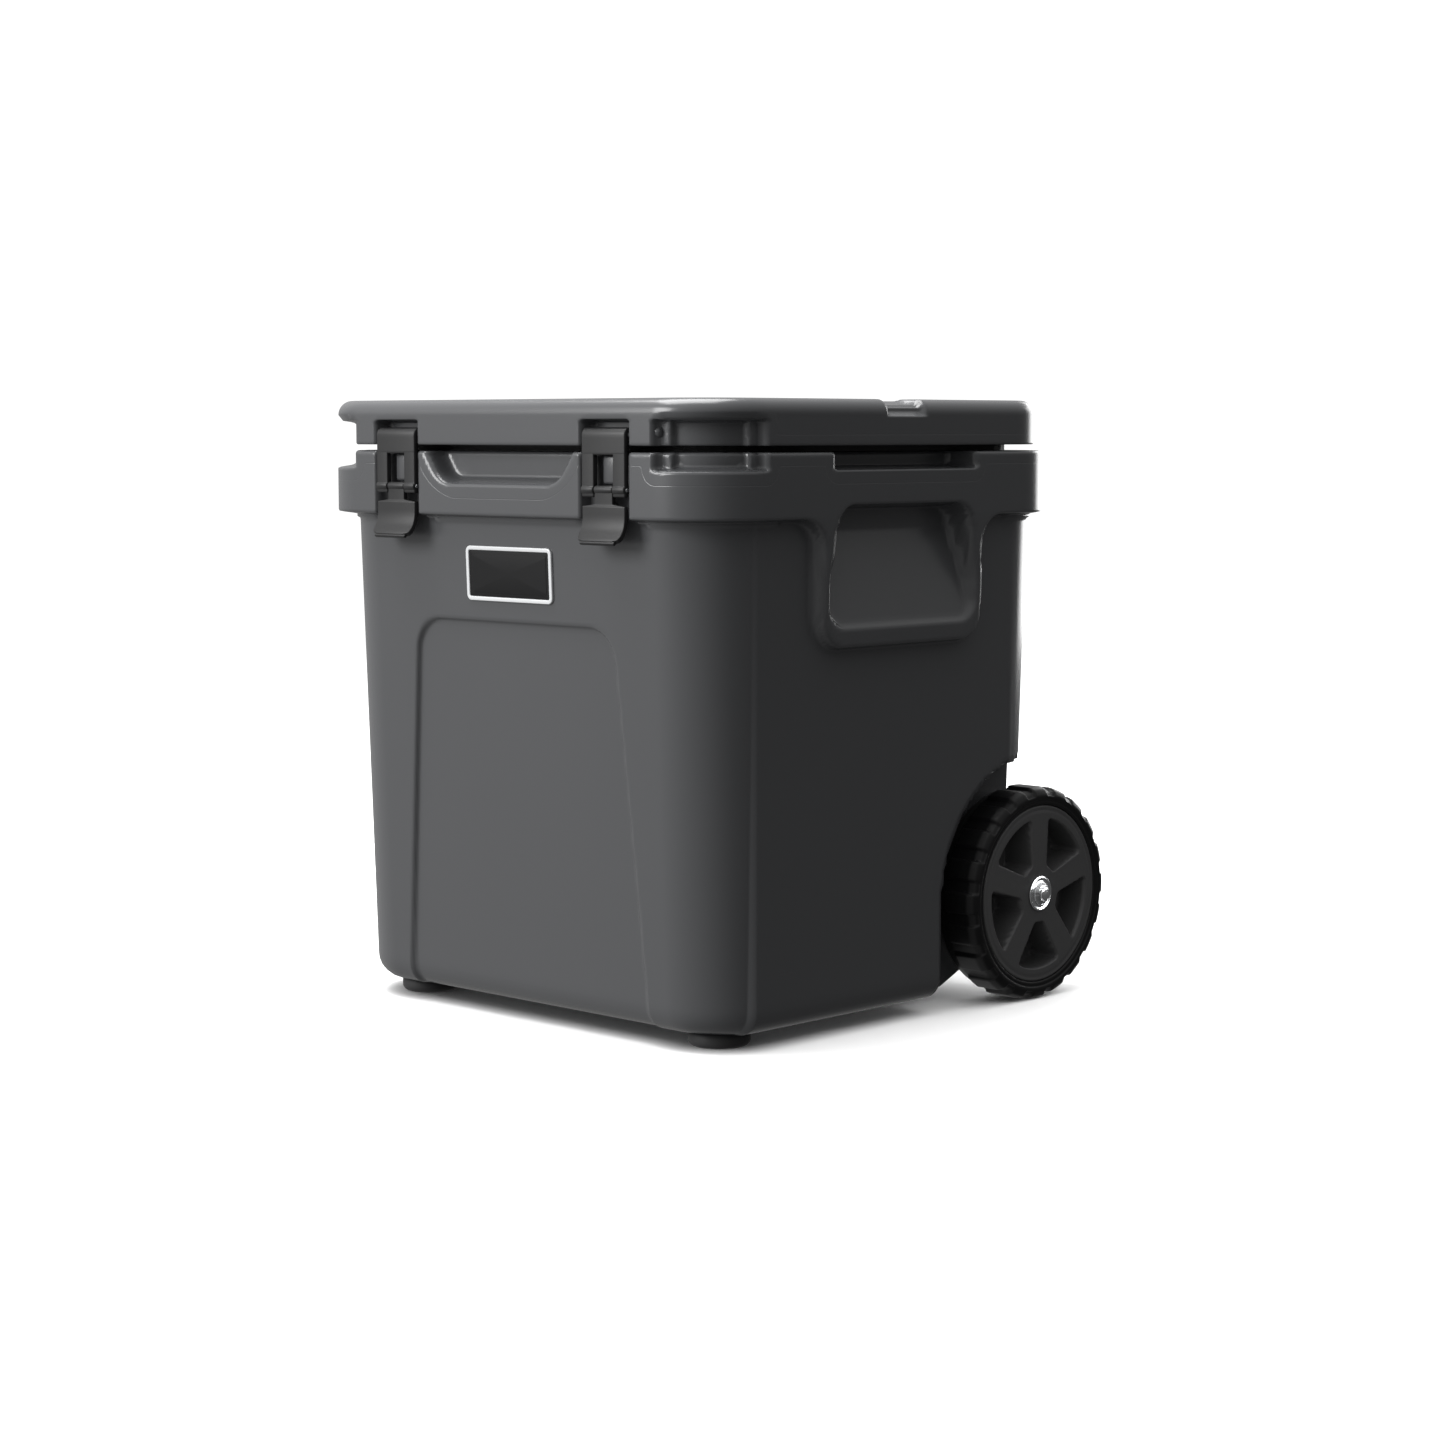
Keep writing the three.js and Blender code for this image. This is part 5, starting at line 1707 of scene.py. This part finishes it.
@dataclass
class Handle:
    """Two-stage telescopic handle: nested tubes, brackets, yokes and a grip with a release button."""

    x: float = 52
    depth: float = 430.5
    grip_half: float = 66
    grip_low: float = 428
    grip_high: float = 467
    tube_wall: float = 1.3

    def tube(self, outer: float, low: float, high: float, side: int) -> Surface:
        """One hollow tube with eased ends.

        Args:
            outer: Outer radius.
            low: Height of its lower end.
            high: Height of its upper end.
            side: -1 for the left, 1 for the right.

        Returns:
            The tube's surface.
        """
        bar = ring(outer, outer - self.tube_wall, low, high, (side * self.x, self.depth, 0), 2, 0.4)
        return Surface().patch(bar, wrap_rows=True)

    def grip(self) -> Surface:
        """Grip: bar with finger scallops under it, two posts, and end knuckles.

        The bar is a rounded section carried along X, its underside rising and falling by 0.9 mm per finger.

        Returns:
            The grip's surface.
        """
        made = Surface()
        x = np.linspace(-self.grip_half, self.grip_half, 90)
        turn = np.linspace(0, 2 * math.pi, 40, endpoint=False)[None]
        round_end = 1 - 0.55 * (1 - np.sqrt(1 - np.clip((np.abs(x) - 58) / 8.05, 0, 1) ** 2))
        cos, sin = np.cos(turn), np.sin(turn)
        half_deep, half_high = 11.4 * round_end[:, None], 8.0 * round_end[:, None]
        finger = 0.9 * np.cos(x * 2 * math.pi / 19)[:, None] * (sin < 0) * -sin * (np.abs(x) < 38)[:, None]
        grid = np.zeros((len(x), turn.shape[1], 3))
        grid[..., 0] = x[:, None] + 0 * turn
        grid[..., 1] = self.depth + half_deep * np.sign(cos) * np.abs(cos) ** 0.55
        grid[..., 2] = self.grip_high - 8.0 + half_high * np.sign(sin) * np.abs(sin) ** 0.55 + finger
        made.patch(grid)
        for side in (-1, 1):
            lo, hi = sorted((side * 38.5, side * 65.8))
            made.patch(block((lo, self.depth - 11.2, self.grip_low), (hi, self.depth + 11.2, 462), 7, 2.5))
        return made

    def build(self, wear: Wardrobe) -> None:
        """Makes tubes, brackets, yoke, grip, button and screws.

        Args:
            wear: The wardrobe that dresses and adds pieces.
        """
        d = self.depth
        stages = (
            ("outer", "cooler", 9.6, 122, 407),
            ("middle", "handle_stage", 8.0, 128, 418),
            ("inner", "handle_grip", 6.4, 134, 433.8),
        )
        for name, side in SIDES:
            for stage, body, outer, low, high in stages:
                slot, tube = Slot.TUBE, self.tube(outer, low, high, side)
                wear.add(tube, f"{stage}_tube_{name}", body, slot, f"handle_{stage}_tube_{name}")
        for name, z in (("upper", 395.0), ("lower", 122.0)):
            bracket = Surface()
            for lo, hi in ((-69.8, -61.9), (-42.1, 42.1), (61.9, 69.8)):
                bracket.patch(block((lo, 419.4, z), (hi, 442.4, z + 16), 3, 1.2))
            for _, side in SIDES:
                bracket.patch(ring(12.0, 9.9, z, z + 16, (side * self.x, d, 0), 2, 0.8), wrap_rows=True)
            wear.add(bracket, f"bracket_{name}", "cooler", Slot.BLACK, f"handle_{name}_bracket")
            head = [
                (0.8, 443.6),
                (1.6, 443.6),
                (2.0, 444.6),
                (3.8, 445.0),
                (4.5, 443.4),
                (4.5, 442.7),
                (2.5, 442.5),
                (2.5, 420),
            ]
            screw = Surface().patch(turned(filleted(head, 0.3, 3, False), (0, 0, z + 8), 1, 40))
            wear.add(screw, f"screw_{name}", "cooler", Slot.STEEL, f"handle_{name}_screw")
        yoke = Surface().patch(block((-42, d - 9.6, 418.3), (42, d + 9.6, 425.3), 5, 1.4))
        for _, side in SIDES:
            yoke.patch(ring(12.0, 6.7, 418.3, 425.3, (side * self.x, d, 0), 2, 1.2), wrap_rows=True)
        wear.add(yoke, "stage_yoke", "handle_stage", Slot.BLACK, "handle_middle_yoke")
        wear.add(self.grip(), "grip", "handle_grip", Slot.BLACK, "handle_grip")
        button = Surface().patch(block((-15, d - 5.5, 461), (15, d + 5.5, 469.2), 4, 1.6))
        for at in np.linspace(-9, 9, 5):
            button.patch(block((at - 0.8, d - 4.4, 468.6), (at + 0.8, d + 4.4, 469.4), 0.7, 0.3))
        wear.add(button, "release_key", "release", Slot.GASKET, "release_button")


@dataclass
class Drain:
    """Screw plug of the drain, low on the left side."""

    centre: tuple[float, float, float] = (-227.0, 226.6, 70.0)

    def build(self, wear: Wardrobe) -> None:
        """Makes the plug with its eight-lobed cap.

        Args:
            wear: The wardrobe that dresses and adds pieces.
        """

        def lobes(angle: Array, row: Array) -> Array:
            """Eight hollows round the cap's outer rows."""
            return -0.8 * ease((np.cos(angle * 8) - 0.35) * 2.2) * (row > 3)

        low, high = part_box("drain_plug")
        x_out = low[0] * 1000
        shank = high[0] * 1000
        profile = [
            (5.5, shank - 0.5),
            (6.5, shank - 1.5),
            (6.5, x_out + 8),
            (14.6, x_out + 7.6),
            (14.8, x_out + 1.8),
            (12.4, x_out),
            (9.5, x_out + 0.9),
            (2.0, x_out + 1.1),
        ]
        shape = filleted(profile, 0.7, 4, False)
        shape[:, 1] -= self.centre[0]
        plug = Surface().patch(turned(shape, self.centre, 0, 96, lobes))
        _, depth, height = self.centre
        plug.patch(
            block((x_out, depth - 10.5, height - 2.0), (x_out + 3, depth + 10.5, height + 2.0), 1.6, 1.0, 1)
        )
        wear.add(plug, "drain_cap", "drain_plug", Slot.BLACK, "drain_plug")


# ---------------------------------------------------------------- studio
def sheet(
    name: str, rings: list[tuple[float, float]], sides: int, skin: bpy.types.Material, capped: bool = False
) -> bpy.types.Object:
    """Open sheet of rings about the Z axis.

    Args:
        name: Name of the sheet.
        rings: Radius and height of each ring in metres.
        sides: Corners of each ring.
        skin: Its material.
        capped: Whether a face closes the first ring.

    Returns:
        The sheet's object.
    """
    out, level = np.array(rings)[:, :1], np.array(rings)[:, 1:]
    angle = np.linspace(0, 2 * math.pi, sides, endpoint=False)[None]
    grid = np.stack([out * np.cos(angle), out * np.sin(angle), level + 0 * angle], -1).reshape(-1, 3)
    number = np.arange(len(grid)).reshape(len(out), -1)
    wrap = np.concatenate([number, number[:, :1]], 1)
    quads = np.stack([wrap[:-1, :-1], wrap[1:, :-1], wrap[1:, 1:], wrap[:-1, 1:]], -1).reshape(-1, 4)
    mesh = bpy.data.meshes.new(name)
    mesh.from_pydata(grid.tolist(), [], quads.tolist() + ([number[0].tolist()] if capped else []))
    mesh.materials.append(skin)
    made = bpy.data.objects.new(name, mesh)
    bpy.context.scene.collection.objects.link(made)
    return made


@dataclass
class Studio:
    """Plain pale floor, backdrop, soft lights and the camera."""

    camera_at: tuple[float, float, float] = (1.8260, -1.88028, 0.48686)
    turn: float = 43.88
    pitch: float = -5.52
    lens: float = 75.58
    reach: float = 4.2
    unlit: bpy.types.Collection | None = None

    def camera(self) -> None:
        """Places the camera and makes it the scene's own."""
        data = bpy.data.cameras.new("view")
        data.lens, data.sensor_width = self.lens, 36.0
        view = bpy.data.objects.new("view", data)
        view.location = self.camera_at
        view.rotation_euler = (math.radians(90 + self.pitch), 0.0, math.radians(self.turn))
        bpy.context.scene.collection.objects.link(view)
        bpy.context.scene.camera = view

    def floor(self) -> None:
        """Disc of pale paper under the object, with a wash of light of its own that keeps it even."""
        paper = Finish(
            "white_paper", (0.86, 0.86, 0.86), 0.75, grain=300, patch=0.005, smudge=0.02, specular=0.2
        )
        ground = sheet(
            "floor", [(r, 0.0) for r in (0.05, 0.3, 0.7, 1.2, 2.2, self.reach)], 96, paper.material(), True
        )
        ground.visible_diffuse = False
        ground.visible_glossy = False
        lit = bpy.data.collections.new("washed")
        lit.objects.link(ground)
        wash = self.softbox("floor_wash", (0.0, 0.0, 3.4), (0.0, 0.0, 0.0), (9.0, 9.0), 420)
        wash.light_linking.receiver_collection = lit
        self.unlit = bpy.data.collections.new("not_keyed")
        self.unlit.objects.link(ground)
        self.unlit.collection_objects[0].light_linking.link_state = "EXCLUDE"

    def softbox(
        self,
        name: str,
        at: tuple[float, float, float],
        aim: tuple[float, float, float],
        size: tuple[float, float],
        power: float,
    ) -> bpy.types.Object:
        """Rectangular area light at a point, turned towards another and hidden from the camera.

        Args:
            name: Name of the lamp.
            at: Where it stands.
            aim: Where it points.
            size: Width and height in metres.
            power: Watts.

        Returns:
            The lamp.
        """
        data = bpy.data.lights.new(name, "AREA")
        data.shape, data.size, data.size_y, data.energy = "RECTANGLE", size[0], size[1], power
        lamp = bpy.data.objects.new(name, data)
        away = np.array(at) - np.array(aim)
        flat = math.hypot(away[0], away[1])
        lamp.location = at
        lamp.rotation_euler = (math.atan2(flat, away[2]), 0.0, math.atan2(away[0], -away[1]))
        lamp.visible_camera = False
        bpy.context.scene.collection.objects.link(lamp)
        return lamp

    def backdrop(self) -> None:
        """Round white glowing wall far behind everything, which the object neither reflects nor is lit by."""
        made = bpy.data.materials.new("white_wall")
        made.use_nodes = True
        made.node_tree.nodes.clear()
        bench = Bench(made.node_tree)
        glow = bench.node("ShaderNodeEmission", None, {"Color": (1, 1, 1, 1), "Strength": 1.1})
        bench.node("ShaderNodeOutputMaterial", None, {"Surface": glow})
        rings = [(self.reach - 0.01, -0.01), (self.reach - 0.01, 1.5), (3.8, 4.0), (2.2, 5.5), (0.02, 6.2)]
        wall = sheet("backdrop", rings, 64, made)
        for kind in ("diffuse", "glossy", "transmission", "volume_scatter", "shadow"):
            setattr(wall, f"visible_{kind}", False)

    def surroundings(self) -> None:
        """Soft light from all round: bright overhead and on the left, dark low on the right."""
        world = bpy.data.worlds.new("studio")
        world.use_nodes = True
        tree = world.node_tree
        tree.nodes.clear()
        bench = Bench(tree)
        direction = bench.node("ShaderNodeTexCoord", output="Generated")
        split = tree.nodes.new("ShaderNodeSeparateXYZ")
        link(tree, split.inputs[0], direction)
        x, y, z = (Wire(tree, split.outputs[k]) for k in range(3))
        left = (0.35 - x * 0.5 - y * 0.35).clamped()
        above = (z * 1.4).clamped()
        level = 0.08 + left * 0.5 + above * 0.55
        around = bench.node("ShaderNodeBackground", None, {"Color": (1, 1, 1, 1), "Strength": level})
        bench.node("ShaderNodeOutputWorld", None, {"Surface": around})
        bpy.context.scene.world = world

    def polish_metal(self) -> None:
        """Gives the bright steel pieces a soft light of their own from behind on the right."""
        metal = bpy.data.collections.new("bright_metal")
        wanted = {Slot.STEEL.value[1].name, Slot.BEARING.value[1].name}
        for piece in bpy.context.scene.objects:
            if piece.type == "MESH" and piece.data.materials and piece.data.materials[0].name in wanted:
                metal.objects.link(piece)
        lamp = self.softbox("metal_glow", (1.5, 1.2, 0.55), (0.25, 0.16, 0.1), (1.2, 0.9), 34)
        lamp.light_linking.receiver_collection = metal

    def build(self) -> None:
        """Sets the whole studio."""
        self.camera()
        self.floor()
        self.backdrop()
        self.surroundings()
        self.softbox("overhead", (-0.35, -0.15, 1.9), (-0.1, 0.0, 0.0), (1.25, 1.25), 46)
        key = self.softbox("key", (-1.3, -2.7, 1.5), (0.0, 0.0, 0.25), (1.5, 1.5), 80)
        key.light_linking.receiver_collection = self.unlit
        self.softbox("edge_glow", (-0.35, 2.6, 0.75), (0.0, 0.0, 0.3), (1.5, 1.3), 26)
        bpy.context.scene.view_settings.view_transform = "Standard"


def main() -> None:
    """Builds every sub-assembly in order."""
    logging.basicConfig(level=logging.INFO, format="%(name)s: %(message)s")
    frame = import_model()
    wear = Wardrobe()
    studio = Studio()
    studio.build()
    Tub().build(wear.of(Slot.CHARCOAL))
    Lid().build(wear.of(Slot.CHARCOAL))
    Lining().build(wear)
    Latches().build(wear)
    Wheels().build(wear)
    Badge().build(wear)
    Fittings().build(wear)
    Handle().build(wear)
    Drain().build(wear)
    wear.dress(frame["nodes"], ["insulation_foam", "lid_foam"], Slot.FOAM)
    wear.dress(frame["nodes"], ["lid_inner_panel"], Slot.LINER)
    wear.dress(frame["nodes"], ["lid_gasket", "drain_gasket"], Slot.GASKET)
    wear.dress(frame["nodes"], ["drain_bushing", "release_yoke"], Slot.BLACK)
    wear.dress(frame["nodes"], ["release_rod_left", "release_rod_right"], Slot.STEEL)
    studio.polish_metal()


if __name__ == "__main__":
    main()
